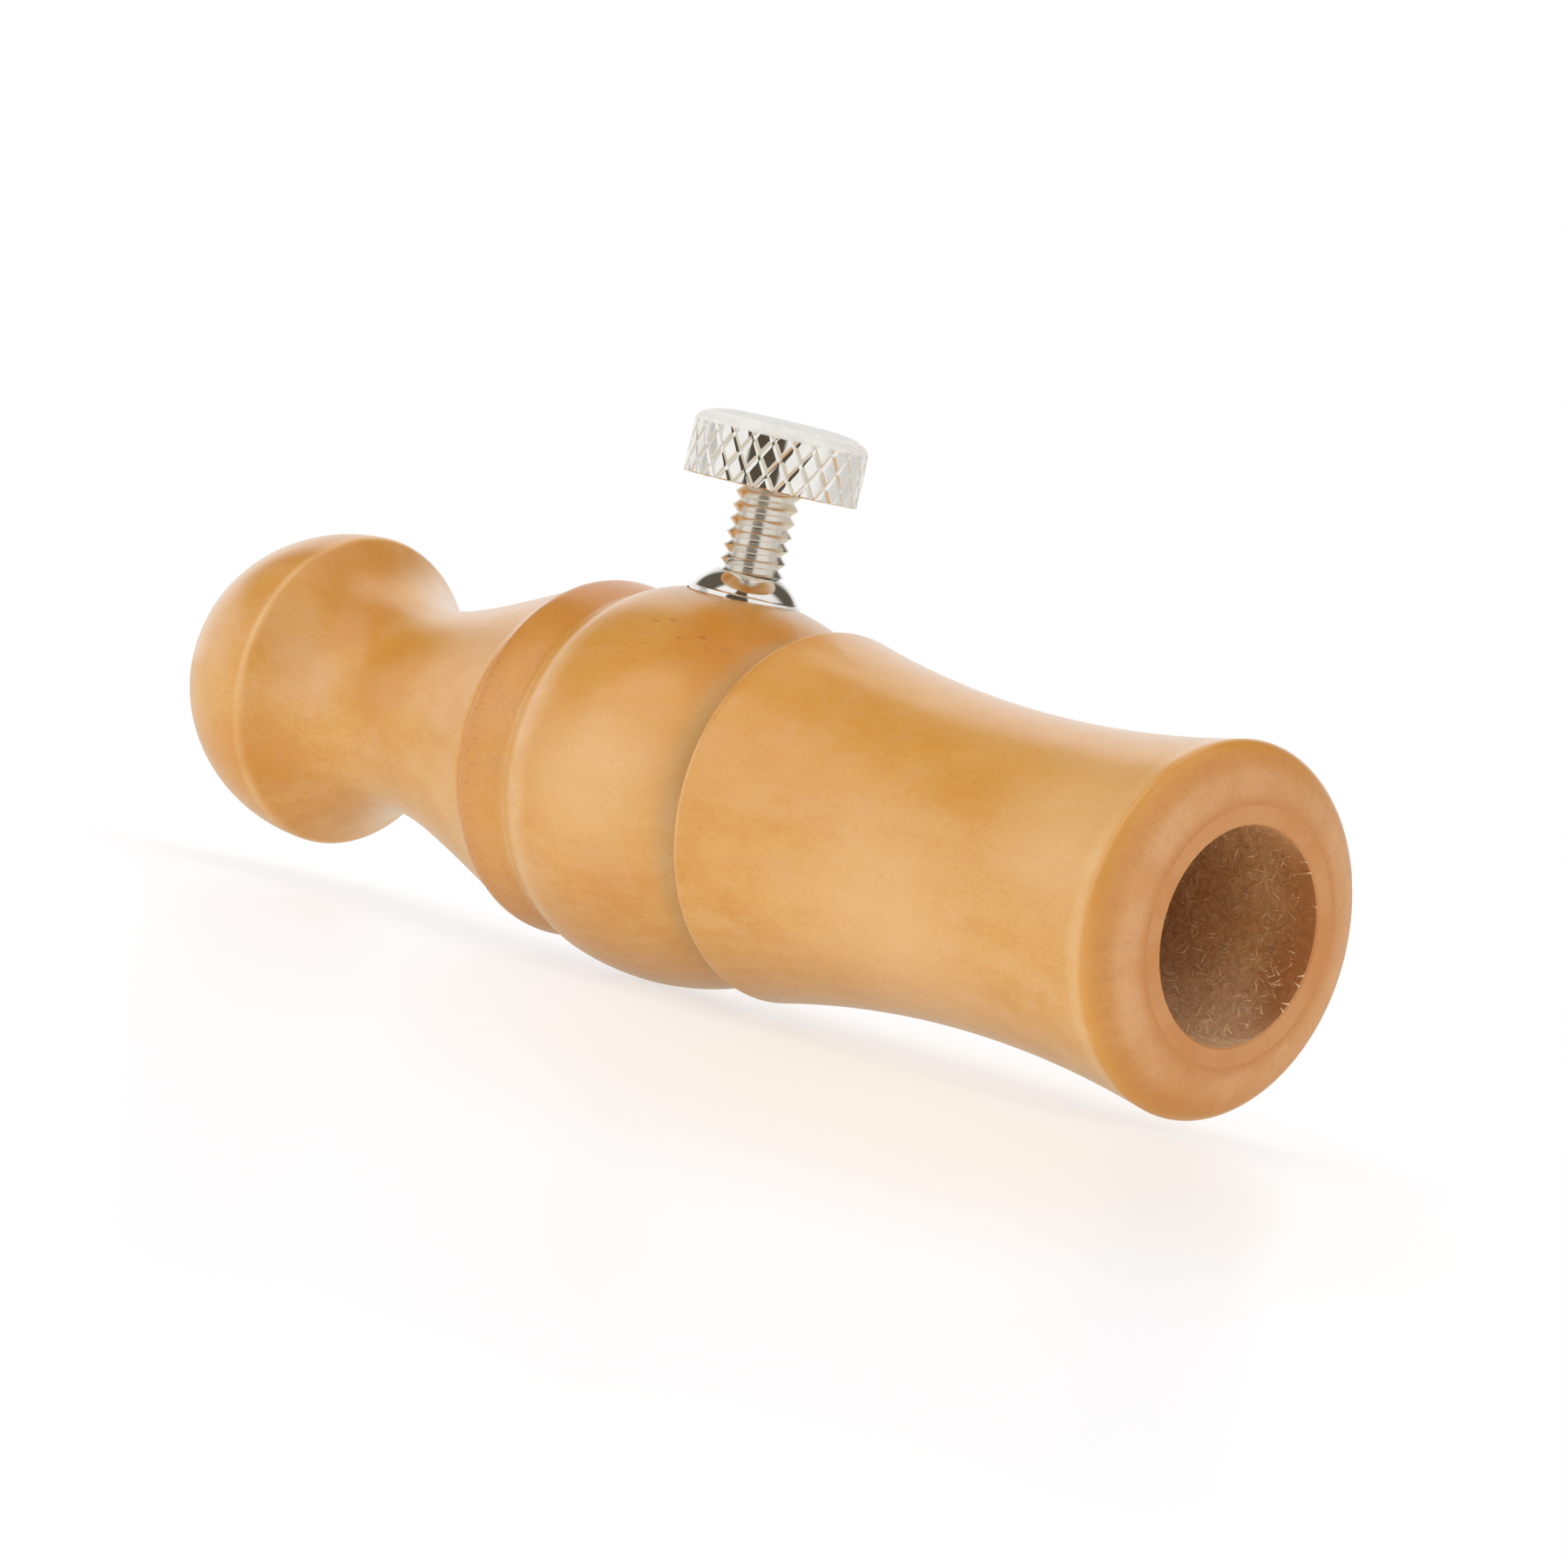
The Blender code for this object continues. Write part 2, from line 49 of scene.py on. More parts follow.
class Wire:
    def __init__(self, sheet, socket):
        self.sheet = sheet
        self.socket = socket

    def out(self, name):
        return Wire(self.sheet, self.socket.node.outputs[name])

    def maths(self, operation, *others):
        return self.sheet.maths(operation, self, *others)

    def __add__(self, other):
        return self.maths("ADD", other)

    def __radd__(self, other):
        return self.sheet.maths("ADD", other, self)

    def __sub__(self, other):
        return self.maths("SUBTRACT", other)

    def __rsub__(self, other):
        return self.sheet.maths("SUBTRACT", other, self)

    def __mul__(self, other):
        return self.maths("MULTIPLY", other)

    def __rmul__(self, other):
        return self.sheet.maths("MULTIPLY", other, self)

    def __truediv__(self, other):
        return self.maths("DIVIDE", other)

    def __rtruediv__(self, other):
        return self.sheet.maths("DIVIDE", other, self)

    def __pow__(self, other):
        return self.maths("POWER", other)


class NodeSheet:
    def __init__(self, tree):
        self.tree = tree

    def add(self, kind, settings=None, inputs=None, output=0):
        node = self.tree.nodes.new(kind)
        for key, value in (settings or {}).items():
            if key == "stops":
                self.setStops(node.color_ramp, value)
            else:
                setattr(node, key, value)
        pairs = inputs.items() if isinstance(inputs, dict) else enumerate(inputs or [])
        for key, value in pairs:
            if isinstance(value, Wire):
                self.tree.links.new(value.socket, node.inputs[key])
            else:
                node.inputs[key].default_value = value
        return Wire(self, node.outputs[output]) if len(node.outputs) else node

    def setStops(self, ramp, stops):
        for place, colour in stops[2:]:
            ramp.elements.new(place)
        for element, (place, colour) in zip(ramp.elements, stops):
            element.position = place
            element.color = (*colour, 1)

    def maths(self, operation, *values):
        return self.add("ShaderNodeMath", {"operation": operation}, values)

    def vectorMaths(self, operation, *values, output=0):
        return self.add("ShaderNodeVectorMath", {"operation": operation}, values, output)

    def between(self, value, low, high):  # 0 below low, 1 above high, eased
        settings = {"interpolation_type": "SMOOTHSTEP"}
        return self.add("ShaderNodeMapRange", settings, {"Value": value, "From Min": low, "From Max": high})

    def mixed(self, share, first, second):
        inputs = {0: share, 6: self.asColour(first), 7: self.asColour(second)}
        return self.add("ShaderNodeMix", {"data_type": "RGBA"}, inputs, output=2)

    def asColour(self, value):
        return value if isinstance(value, Wire) else (*value, 1)

    def scaled(self, vector, sizes):
        return self.vectorMaths("MULTIPLY", vector, sizes)

    def noise(self, vector, scale, detail=2.0, roughness=0.5):
        inputs = {"Vector": vector, "Scale": scale, "Detail": detail, "Roughness": roughness}
        return self.add("ShaderNodeTexNoise", None, inputs)

    def stretched(self, vector, scales, detail, roughness=0.5):
        return self.noise(self.scaled(vector, scales), 1.0, detail, roughness)

    def bump(self, height, strength, distance):
        inputs = {"Height": height, "Strength": strength, "Distance": distance}
        return self.add("ShaderNodeBump", None, inputs)

    def split(self, vector):
        x = self.add("ShaderNodeSeparateXYZ", None, [vector])
        return x, x.out("Y"), x.out("Z")

    def joined(self, x, y, z):
        return self.add("ShaderNodeCombineXYZ", None, [x, y, z])


def newFinish(name, constants):
    finish = bpy.data.materials.new(name)
    finish.use_nodes = True
    shader = finish.node_tree.nodes["Principled BSDF"]
    for key, value in constants.items():
        shader.inputs[key].default_value = value
    sheet = NodeSheet(finish.node_tree)
    place = sheet.add("ShaderNodeTexCoord").out("Object")
    return finish, shader, sheet, sheet.scaled(place, inMillimetres)


def feed(sheet, shader, wires):
    for key, wire in wires.items():
        sheet.tree.links.new(wire.socket, shader.inputs[key])


# sizes of the call, in millimetres, as in the solids

call = {
    "axisHeight": 12.5, "bellX": 43.95, "shoulderX": 6.75, "seatX": 6.45, "screwX": -2.55,
    "creaseX": 41.95, "grooveX": -8.95, "ringEndX": -13.1, "neckX": -27.65, "knobX": -34.75,
    "mouthX": -43.95,
}


# finishes

woodLook = {
    "honey": (0.635, 0.295, 0.05), "pale": (0.705, 0.395, 0.118), "amber": (0.59, 0.24, 0.018),
    # this pale tone serves the painted highlights along the edges and some pale patches
    "deep": (0.52, 0.18, 0.008), "worn": (0.80, 0.52, 0.25), "pink": (0.72, 0.42, 0.22),
    "fleck": (0.40, 0.13, 0.022), "endGrain": (0.53, 0.205, 0.045), "line": (0.36, 0.14, 0.04),
    "grey": (0.45, 0.31, 0.14),
    "patterns": {  # scale along and across the call, detail, roughness
        "slow": ((0.02, 0.07, 0.07), 2.0, 0.5), "mottle": ((0.11, 0.19, 0.19), 3.0, 0.55),
        "fibre": ((0.10, 1.3, 1.3), 3.0, 0.6), "grain": ((2.2, 3.6, 3.6), 3.0, 0.7),
        "speck": ((5.0, 5.0, 5.0), 2.0, 0.7), "blush": ((0.30, 0.48, 0.48), 3.0, 0.65),
        "dash": ((0.7, 2.4, 2.4), 1.0, 0.5)},
    # the patches in the palest tone make the bell's upper front, the ball's front and the horn's lower front
    # paler
    "patches": (  # middle, full reach, last reach, share, tone
        ((3.6, -6.0, 22.5), 2.0, 6.4, 0.7, "deep"), ((-34.5, -3.5, 21.5), 1.0, 6.0, 0.55, "deep"),
        ((-39.0, -7.0, 5.0), 1.0, 7.0, 0.7, "amber"), ((37.5, -9.0, 17.0), 1.0, 9.0, 0.4, "worn"),
        ((-30.0, -5.0, 17.5), 0.5, 4.0, 0.6, "deep"), ((-34.0, -8.0, 6.5), 0.5, 4.5, 0.6, "amber"),
        ((-25.5, -7.0, 14.5), 0.5, 5.5, 0.75, "amber"), ((-31.6, -7.6, 13.0), 0.5, 3.0, 0.45, "pink"),
        ((-33.5, -8.0, 16.0), 0.5, 3.0, 0.3, "pink"), ((0.0, -12.0, 11.5), 1.0, 7.0, 0.45, "worn"),
        ((23.5, -9.0, 6.5), 2.0, 11.0, 0.45, "worn"), ((1.5, -11.5, 5.5), 1.0, 5.0, 0.25, "endGrain"),
        ((-11.0, -4.5, 22.5), 1.0, 5.5, 0.65, "deep")),
    "flecks": ((0.5, -7.5, 22.5), 2.0, 5.5), "matt": ((3.6, -6.0, 22.5), 3.0, 6.2), "patchEdge": 4.0,
    "outerWood": (51.0, 60.0, 0.5), "outerEdge": 8.0, "pithY": 34.0, "pithZ": -21.0, "ringPitch": 1.7,
    "ringWaver": 7.0,
    # the rim's pink band is a painted sheen on the rounding of the bell's rim
    "rim": (0.2, 0.9), "rimFace": 1.7, "rimPink": (9.4, 0.4, 1.3), "rimLine": (8.1, 0.02, 0.18),
    "boreEdge": (7.9, 8.15), "streaks": 24, "mouthEnd": 3.0,
    "ring": (1.7, 2.2), "ringCrest": (10.2, 12.6), "ringTop": (3.0, 9.0),
    # painted shade: an amber band on the bell's rim just past the crease
    "paintedAmberShade": (("creaseX", 0.4, 0.2, 0.7, 0.5),),  # place, offset, full and last half width, share
    # painted shade: grey bands on the ball beside the horn's shoulder and in the groove by the ring bead
    "paintedGreyShade": (("seatX", -0.85, 0.2, 1.3, 0.38), ("grooveX", 0.0, 0.0, 0.4, 0.05)),
    # painted highlights: pale lines at the knob's edge, the horn's shoulder, beside the bell's crease and on
    # the ball by the groove
    "paintedHighlightEdges": (
        ("knobX", -0.1, 0.05, 0.5, 0.45), ("shoulderX", 0.3, 0.15, 0.45, 0.4),
        ("creaseX", -0.7, 0.1, 1.0, 0.35), ("grooveX", 1.9, 0.3, 1.8, 0.45)),
    "shares": {
        "blush": 0.25, "pores": 0.24, "dashes": 0.6, "ends": 0.65, "bellFace": 0.25, "rimPink": 0.3,
        "rimStreaks": 0.22, "boreEdge": 0.15, "ringFlecks": 0.16, "ringPink": 0.10, "ringDeep": 0.4},
    "roughness": 0.30, "coat": 0.85, "coatRoughness": 0.2, "endsDull": 0.75, "mattDull": 0.85,
    "ringDull": 0.4, "bump": 0.25, "bumpHeight": 0.04,
}


def lacqueredWood(look):
    finish, shader, sheet, place = newFinish("lacquered_wood", {
        "Coat Roughness": look["coatRoughness"], "IOR": 1.5})
    x, y, z = sheet.split(place)
    up = z - call["axisHeight"]
    radius = (y ** 2 + up ** 2) ** 0.5
    shares = look["shares"]

    def pattern(name):
        return sheet.stretched(place, *look["patterns"][name])

    def band(value, middle, inner, outer):
        return 1 - sheet.between((value - middle).maths("ABSOLUTE"), inner, outer)

    def edges(rows):
        return sum(band(x, call[at] + offset, *widths) * share for at, offset, *widths, share in rows)

    def within(middle, inner, outer):  # a patch with a mottled edge
        away = sheet.vectorMaths("DISTANCE", place, middle, output="Value")
        return 1 - sheet.between(away + mottle * look["patchEdge"] - look["patchEdge"] / 2, inner, outer)

    def tinted(colour, share, tone):
        return sheet.mixed(share, colour, look[tone])

    slow, mottle, fibre, grain, speck, blush, dash = (pattern(name) for name in look["patterns"])
    fromPith = ((y - look["pithY"]) ** 2 + (z - look["pithZ"]) ** 2) ** 0.5
    rings = ((fromPith + slow * look["ringWaver"]) * (2 * math.pi / look["ringPitch"])).maths("SINE")
    figure = mottle * 0.5 + fibre * 0.15 + grain * 0.35 + rings * 0.015
    colour = sheet.mixed(sheet.between(figure, 0.36, 0.66), look["honey"], look["pale"])
    colour = tinted(colour, sheet.between(blush, 0.50, 0.66) * shares["blush"], "pink")
    colour = tinted(colour, (1 - sheet.between(blush, 0.34, 0.50)) * shares["blush"], "amber")
    near, far, most = look["outerWood"]
    outer = sheet.between(fromPith + mottle * look["outerEdge"] - look["outerEdge"] / 2, near, far)
    colour = tinted(colour, outer * most, "amber")
    for middle, inner, reach, share, tone in look["patches"]:
        colour = tinted(colour, within(middle, inner, reach) * share, tone)
    dashes = sheet.between(dash, 0.68, 0.72) * within(*look["flecks"])
    pores = sheet.between(grain, 0.58, 0.74) * shares["pores"]
    pores = pores + sheet.between(speck, 0.56, 0.74) * shares["pores"]
    colour = tinted(colour, pores + dashes * shares["dashes"], "fleck")

    # end grain of the bell's rim and of the mouth end, with painted sheen and painted shade on the rim
    creaseX, streaks = call["creaseX"], look["streaks"]
    around = sheet.joined(x * 0.5, y / radius * streaks, up / radius * streaks)
    streak = sheet.noise(around, 1.0, 3.0, 0.6)
    rim = sheet.between(x, *(creaseX + offset for offset in look["rim"]))
    mouthEnd = sheet.between(0 - x, -call["mouthX"] - look["mouthEnd"], -call["mouthX"])
    ends = rim.maths("MAXIMUM", mouthEnd)
    bellFace = sheet.between(x, creaseX + look["rimFace"], call["bellX"])
    colour = tinted(colour, ends * (shares["ends"] + bellFace * shares["bellFace"]), "endGrain")
    blotch = sheet.between(mottle, 0.4, 0.62)
    # painted sheen on the rounding of the bell's rim, broken up by blotches and end-grain streaks
    rimSheenShare = blotch * shares["rimPink"] + streak * shares["rimPink"]
    colour = tinted(colour, rim * band(radius, *look["rimPink"]) * rimSheenShare, "pink")
    streaked = sheet.between(streak * 0.5 + grain * 0.5, 0.46, 0.62)
    colour = tinted(colour, rim * streaked * shares["rimStreaks"], "line")
    colour = tinted(colour, rim * band(radius, *look["rimLine"]) * (0.04 + blotch * 0.2), "line")
    boreEdge = 1 - sheet.between(radius, *look["boreEdge"])
    colour = tinted(colour, rim * boreEdge * blotch * shares["boreEdge"], "pink")
    # painted shade: darker amber on the rim just past the bell's crease
    colour = tinted(colour, edges(look["paintedAmberShade"]), "amber")

    # ring bead, browner at its crest than by the groove and deepest at the top
    ring = band(x, (call["grooveX"] + call["ringEndX"]) / 2, *look["ring"])
    crest = 0.5 + sheet.between(0 - x, *look["ringCrest"]) * 0.7
    browned = 0.22 + sheet.between(mottle * 0.5 + grain * 0.5, 0.4, 0.65) * 0.35
    colour = tinted(colour, ring * browned * crest, "endGrain")
    flecked = sheet.between(grain * 0.6 + blush * 0.4, 0.50, 0.60)
    colour = tinted(colour, ring * flecked * shares["ringFlecks"], "fleck")
    pinked = 1 - sheet.between(blush * 0.6 + speck * 0.4, 0.40, 0.50)
    colour = tinted(colour, ring * pinked * shares["ringPink"], "pink")
    colour = tinted(colour, ring * sheet.between(up, *look["ringTop"]) * shares["ringDeep"], "deep")

    # painted shade: grey on the ball beside the horn's shoulder and in the groove by the ring bead
    colour = tinted(colour, edges(look["paintedGreyShade"]), "grey")
    # painted highlights along the edges, broken up by the mottle
    highlightBreakup = sheet.between(mottle + speck * 0.3, 0.3, 0.75)
    colour = tinted(colour, edges(look["paintedHighlightEdges"]) * highlightBreakup, "worn")
    rough = look["roughness"] + grain * 0.12 + ends * 0.16 - 0.06
    height = grain * 0.5 + fibre * 0.3 + speck * 0.25 - pores * 0.6
    coat = look["coat"] * (1.1 - mottle * 0.3) * (1 - ends * look["endsDull"])
    coat = coat * (1 - within(*look["matt"]) * look["mattDull"]) * (1 - ring * look["ringDull"])
    feed(sheet, shader, {
        "Base Color": colour, "Roughness": rough, "Coat Weight": coat,
        "Normal": sheet.bump(height, look["bump"], look["bumpHeight"] * mm)})
    return finish


boreLook = {
    "brown": (0.66, 0.33, 0.12), "light": (0.84, 0.53, 0.27), "dark": (0.42, 0.18, 0.06),
    "paleLow": (1.0, 0.72, 0.46), "red": (0.46, 0.16, 0.04),
    "fuzz": {"Scale": 1.1, "Detail": 5.0, "Roughness": 0.72, "Distortion": 2.2}, "cloud": (0.35, 3.0),
    "lightShare": 0.75, "darkShare": 0.7, "redShare": 0.85,
    "paleLowZ": (-4.5, 2.0), "redX": (-3.0, 0.5), "redY": (2.0, 6.0),  # from the axis and the bell's face
    "bump": 0.8, "bumpHeight": 0.3,
}


def rawBore(look):
    finish, shader, sheet, place = newFinish("raw_bore", {"IOR": 1.4})
    x, y, z = sheet.split(place)
    fuzz = sheet.add("ShaderNodeTexNoise", None, {"Vector": place, **look["fuzz"]})
    cloud = sheet.noise(place, *look["cloud"])
    colour = sheet.mixed(sheet.between(fuzz, 0.42, 0.72) * look["lightShare"], look["brown"], look["light"])
    colour = sheet.mixed((1 - sheet.between(fuzz, 0.28, 0.48)) * look["darkShare"], colour, look["dark"])
    # paler towards the bottom of the bore
    low = 1 - sheet.between(z + cloud * 4.0, *(call["axisHeight"] + offset for offset in look["paleLowZ"]))
    mouth = sheet.between(x + cloud * 3.0, *(call["bellX"] + offset for offset in look["redX"]))
    mouth = mouth * sheet.between(y, *look["redY"])  # far side of the mouth
    colour = sheet.mixed(low * fuzz, colour, look["paleLow"])
    colour = sheet.mixed(mouth * look["redShare"], colour, look["red"])
    feed(sheet, shader, {
        "Base Color": colour, "Roughness": 0.7 + fuzz * 0.25,
        "Normal": sheet.bump(fuzz, look["bump"], look["bumpHeight"] * mm)})
    return finish


fibreLook = {
    "tan": (0.56, 0.31, 0.13), "pale": (0.94, 0.70, 0.45), "patch": (1.6, 2.0), "paleZ": (-4.0, 2.0),
}


def woodFuzz(look):
    finish, shader, sheet, place = newFinish("wood_fuzz", {})
    patch = sheet.noise(place, *look["patch"])
    z = sheet.split(place)[2]
    low = 1 - sheet.between(z, *(call["axisHeight"] + offset for offset in look["paleZ"]))
    colour = sheet.mixed(sheet.between(patch + low * 0.3, 0.4, 0.75), look["tan"], look["pale"])
    feed(sheet, shader, {"Base Color": colour, "Roughness": 0.65 + patch * 0.3})
    return finish


plateLook = {
    "bright": (0.88, 0.86, 0.82), "dull": (0.74, 0.71, 0.66), "roughness": 0.03,
    "cloud": (0.8, 3.0), "scratch": ((1.5, 1.5, 14.0), 2.0, 0.7), "bump": 0.06, "bumpHeight": 0.02,
    "cut": 0.13, "cutZ": (26.0, 31.65),  # thread and underside of the head
    "satin": 0.26, "crownZ": (34.85, 35.0),  # top of the head
    "frosted": 0.24, "bloom": 0.65, "flatZ": (35.57, 35.83),  # its rounded edge
}


def nickelPlate(look):
    finish, shader, sheet, place = newFinish("nickel_plate", {})
    cloud = sheet.noise(place, *look["cloud"])
    scratch = sheet.stretched(place, *look["scratch"])
    colour = sheet.mixed(sheet.between(cloud, 0.4, 0.75) * 0.5, look["bright"], look["dull"])
    z = sheet.split(place)[2]
    low, high = look["cutZ"]
    cut = sheet.between(z, low, low + 0.1) * (1 - sheet.between(z, high, high + 0.05))
    crown = sheet.between(z, *look["crownZ"])
    frosted = crown * (1 - sheet.between(z, *look["flatZ"]))
    rough = look["roughness"] + cloud * 0.05 + scratch * 0.04
    rough = rough + cut * look["cut"] + crown * look["satin"] + frosted * look["frosted"]
    feed(sheet, shader, {
        "Base Color": colour, "Metallic": 1 - frosted * look["bloom"], "Roughness": rough,
        "Normal": sheet.bump(scratch, look["bump"], look["bumpHeight"] * mm)})
    return finish


# cloud and grain: scale, detail and roughness of a pattern
plainLooks = {
    "moulded_plastic": {
        "clean": (0.020, 0.020, 0.022), "dulled": (0.055, 0.054, 0.052), "cloud": (0.5, 2.0),
        "dulling": (0.4, 0.7), "grain": ((4.0, 4.0, 4.0), 3.0, 0.6), "roughness": 0.36,
        "roughened": 0.18, "bump": 0.3, "bumpHeight": 0.03, "fixed": {"IOR": 1.48}},
    "reed_brass": {
        "clean": (0.80, 0.58, 0.25), "dulled": (0.48, 0.29, 0.11), "cloud": (0.6, 3.0),
        "dulling": (0.45, 0.75), "grain": ((0.25, 9.0, 9.0), 3.0), "roughness": 0.22,
        "roughened": 0.2, "bump": 0.15, "bumpHeight": 0.02, "fixed": {"Metallic": 1.0}},
    "ivory_nylon": {
        "clean": (0.78, 0.74, 0.64), "dulled": (0.62, 0.56, 0.44), "cloud": (1.4, 3.0),
        "dulling": (0.35, 0.7), "grain": ((1.4, 1.4, 1.4), 3.0), "roughness": 0.40,
        "roughened": 0.2, "bump": 0.2, "bumpHeight": 0.03, "fixed": {"IOR": 1.53}},
    "black_rubber": {
        "clean": (0.014, 0.014, 0.014), "dulled": (0.05, 0.05, 0.048), "cloud": (1.2, 4.0),
        "dulling": (0.45, 0.75), "grain": ((1.2, 1.2, 1.2), 4.0), "roughness": 0.55,
        "roughened": 0.25, "bump": 0.3, "bumpHeight": 0.03, "fixed": {"IOR": 1.5}},
}


def plainFinish(name, look):
    finish, shader, sheet, place = newFinish(name, look["fixed"])
    cloud = sheet.noise(place, *look["cloud"])
    grain = sheet.stretched(place, *look["grain"])
    colour = sheet.mixed(sheet.between(cloud, *look["dulling"]), look["clean"], look["dulled"])
    feed(sheet, shader, {
        "Base Color": colour, "Roughness": look["roughness"] + grain * look["roughened"],
        "Normal": sheet.bump(grain, look["bump"], look["bumpHeight"] * mm)})
    return finish


wood = lacqueredWood(woodLook)
bore = rawBore(boreLook)
fuzzWood = woodFuzz(fibreLook)
plate = nickelPlate(plateLook)
plastic, brass, nylon, rubber = (plainFinish(name, look) for name, look in plainLooks.items())
print("finishes ready")


# Geometry Nodes: turning, knurling, threading, wood fuzz

def newTree(name, inputs):
    tree = bpy.data.node_groups.new(name, "GeometryNodeTree")
    tree.interface.new_socket("Geometry", in_out="INPUT", socket_type="NodeSocketGeometry")
    for label, kind in inputs.items():
        tree.interface.new_socket(label, in_out="INPUT", socket_type="NodeSocket" + kind)
    tree.interface.new_socket("Geometry", in_out="OUTPUT", socket_type="NodeSocketGeometry")
    sheet = NodeSheet(tree)
    return tree, sheet, sheet.add("NodeGroupInput")


def welded(sheet, shape, distance):
    shape = sheet.add("GeometryNodeMergeByDistance", None, {"Geometry": shape, "Distance": distance})
    return sheet.add("GeometryNodeSetShadeSmooth", None, {"Geometry": shape, "Shade Smooth": True})


def endTree(sheet, shape, finish):
    shape = sheet.add("GeometryNodeRealizeInstances", None, [shape])
    shape = sheet.add("GeometryNodeSetMaterial", None, {"Geometry": shape, "Material": finish})
    sheet.add("NodeGroupOutput", None, [shape])


def runTree(obj, tree, values):
    modifier = obj.modifiers.new(tree.name, "NODES")
    modifier.node_group = tree
    for item in tree.interface.items_tree:
        if item.in_out == "INPUT" and item.name in values:
            modifier[item.identifier] = values[item.name]
    plainMesh(obj)


def plainMesh(obj):
    graph = bpy.context.evaluated_depsgraph_get()
    mesh = bpy.data.meshes.new_from_object(obj.evaluated_get(graph))
    obj.modifiers.clear()
    old = obj.data
    obj.data = mesh
    bpy.data.meshes.remove(old)
    mesh.name = obj.name


def makeTurningTree():
    tree, sheet, start = newTree("turned on a lathe", {
        "Steps": "Int", "Rows": "Int", "Centre": "Vector", "Upright": "Bool", "Finish": "Material"})
    steps, rows = start.out("Steps"), start.out("Rows")
    grid = sheet.add("GeometryNodeMeshGrid", None, [1.0, 1.0, steps + 1, rows])
    across, down = sheet.split(sheet.add("GeometryNodeInputPosition"))[:2]
    row = ((down + 0.5) * (rows - 1)).maths("ROUND")
    angle = (across + 0.5) * (2 * math.pi)
    sample = sheet.add("GeometryNodeSampleIndex", {"data_type": "FLOAT_VECTOR"}, {
        "Geometry": start, "Value": sheet.add("GeometryNodeInputPosition"), "Index": row})
    along, radius = sheet.split(sample)[:2]
    side, front = radius * angle.maths("SINE"), radius * angle.maths("COSINE")
    lying = sheet.joined(along, side, 0 - front)
    upright = sheet.joined(front, side, along)
    turned = sheet.add("GeometryNodeSwitch", {"input_type": "VECTOR"}, [start.out("Upright"), lying, upright])
    placed = sheet.vectorMaths("ADD", turned, start.out("Centre"))
    shape = sheet.add("GeometryNodeSetPosition", None, {"Geometry": grid, "Position": placed})
    endTree(sheet, welded(sheet, shape, weld["turned"]), start.out("Finish"))
    return tree


def makeKnurlTree():
    tree, sheet, start = newTree("diamond knurl", {
        "Centre": "Float", "Base": "Float", "Radius": "Float", "Diamonds": "Float", "Turn": "Float",
        "Lean": "Float", "Depth": "Float", "Groove": "Float", "Finish": "Material"})
    x, y, z = sheet.split(sheet.add("GeometryNodeInputPosition"))
    x = x - start.out("Centre")
    radius = (x ** 2 + y ** 2) ** 0.5
    turn = y.maths("ARCTAN2", x) * start.out("Diamonds") / (2 * math.pi) + start.out("Turn")
    climb = (z - start.out("Base")) * start.out("Lean")
    cuts = []
    for phase in (turn + climb, turn - climb):
        offCentre = (phase.maths("FRACT") - 0.5).maths("ABSOLUTE")
        cuts.append(sheet.between(1 - offCentre * 2 / start.out("Groove"), 0.0, 1.0))
    cut = cuts[0].maths("MAXIMUM", cuts[1])
    limit = start.out("Radius") - cut * start.out("Depth")
    ratio = radius.maths("MINIMUM", limit) / radius.maths("MAXIMUM", 0.00001)
    moved = sheet.joined(x * ratio + start.out("Centre"), y * ratio, z)
    shape = sheet.add("GeometryNodeSetPosition", None, {"Geometry": start, "Position": moved})
    endTree(sheet, shape, start.out("Finish"))
    return tree


def makeThreadTree():
    tree, sheet, start = newTree("cut thread", {
        "Columns": "Int", "Turns": "Int", "Rows": "Int", "Centre": "Float", "Bottom": "Float",
        "Length": "Float", "Radius": "Float", "Depth": "Float", "Pitch": "Float", "Crest": "Float",
        "Start": "Float", "Finish": "Material"})
    turns, rows, pitch = start.out("Turns"), start.out("Rows"), start.out("Pitch")
    ribbon = sheet.add("GeometryNodeMeshGrid", None, [1.0, 1.0, turns * start.out("Columns") + 1, rows + 1])
    across, up = sheet.split(sheet.add("GeometryNodeInputPosition"))[:2]
    turned, share = (across + 0.5) * turns, up + 0.5
    offCrest = (share - 0.5).maths("ABSOLUTE") * 2
    cut = (offCrest - start.out("Crest")) / (1 - start.out("Crest") * 2)
    cut = cut.maths("MAXIMUM", 0.0).maths("MINIMUM", 1.0)
    # a turn too many at each end is drawn in to close it
    height = (turned + share + start.out("Start") - 2) * pitch
    spare = (0 - height).maths("MAXIMUM", height - start.out("Length")).maths("MAXIMUM", 0.0)
    drawnIn = (spare / pitch * 4).maths("MINIMUM", 1.0)
    height = height.maths("MAXIMUM", 0.0).maths("MINIMUM", start.out("Length"))
    radius = (start.out("Radius") - cut * start.out("Depth")) * (1 - drawnIn)
    angle = turned * (2 * math.pi)
    x, y = radius * angle.maths("COSINE") + start.out("Centre"), radius * angle.maths("SINE")
    moved = sheet.joined(x, y, height + start.out("Bottom"))
    shape = sheet.add("GeometryNodeSetPosition", None, {"Geometry": ribbon, "Position": moved})
    endTree(sheet, welded(sheet, shape, weld["thread"]), start.out("Finish"))
    return tree


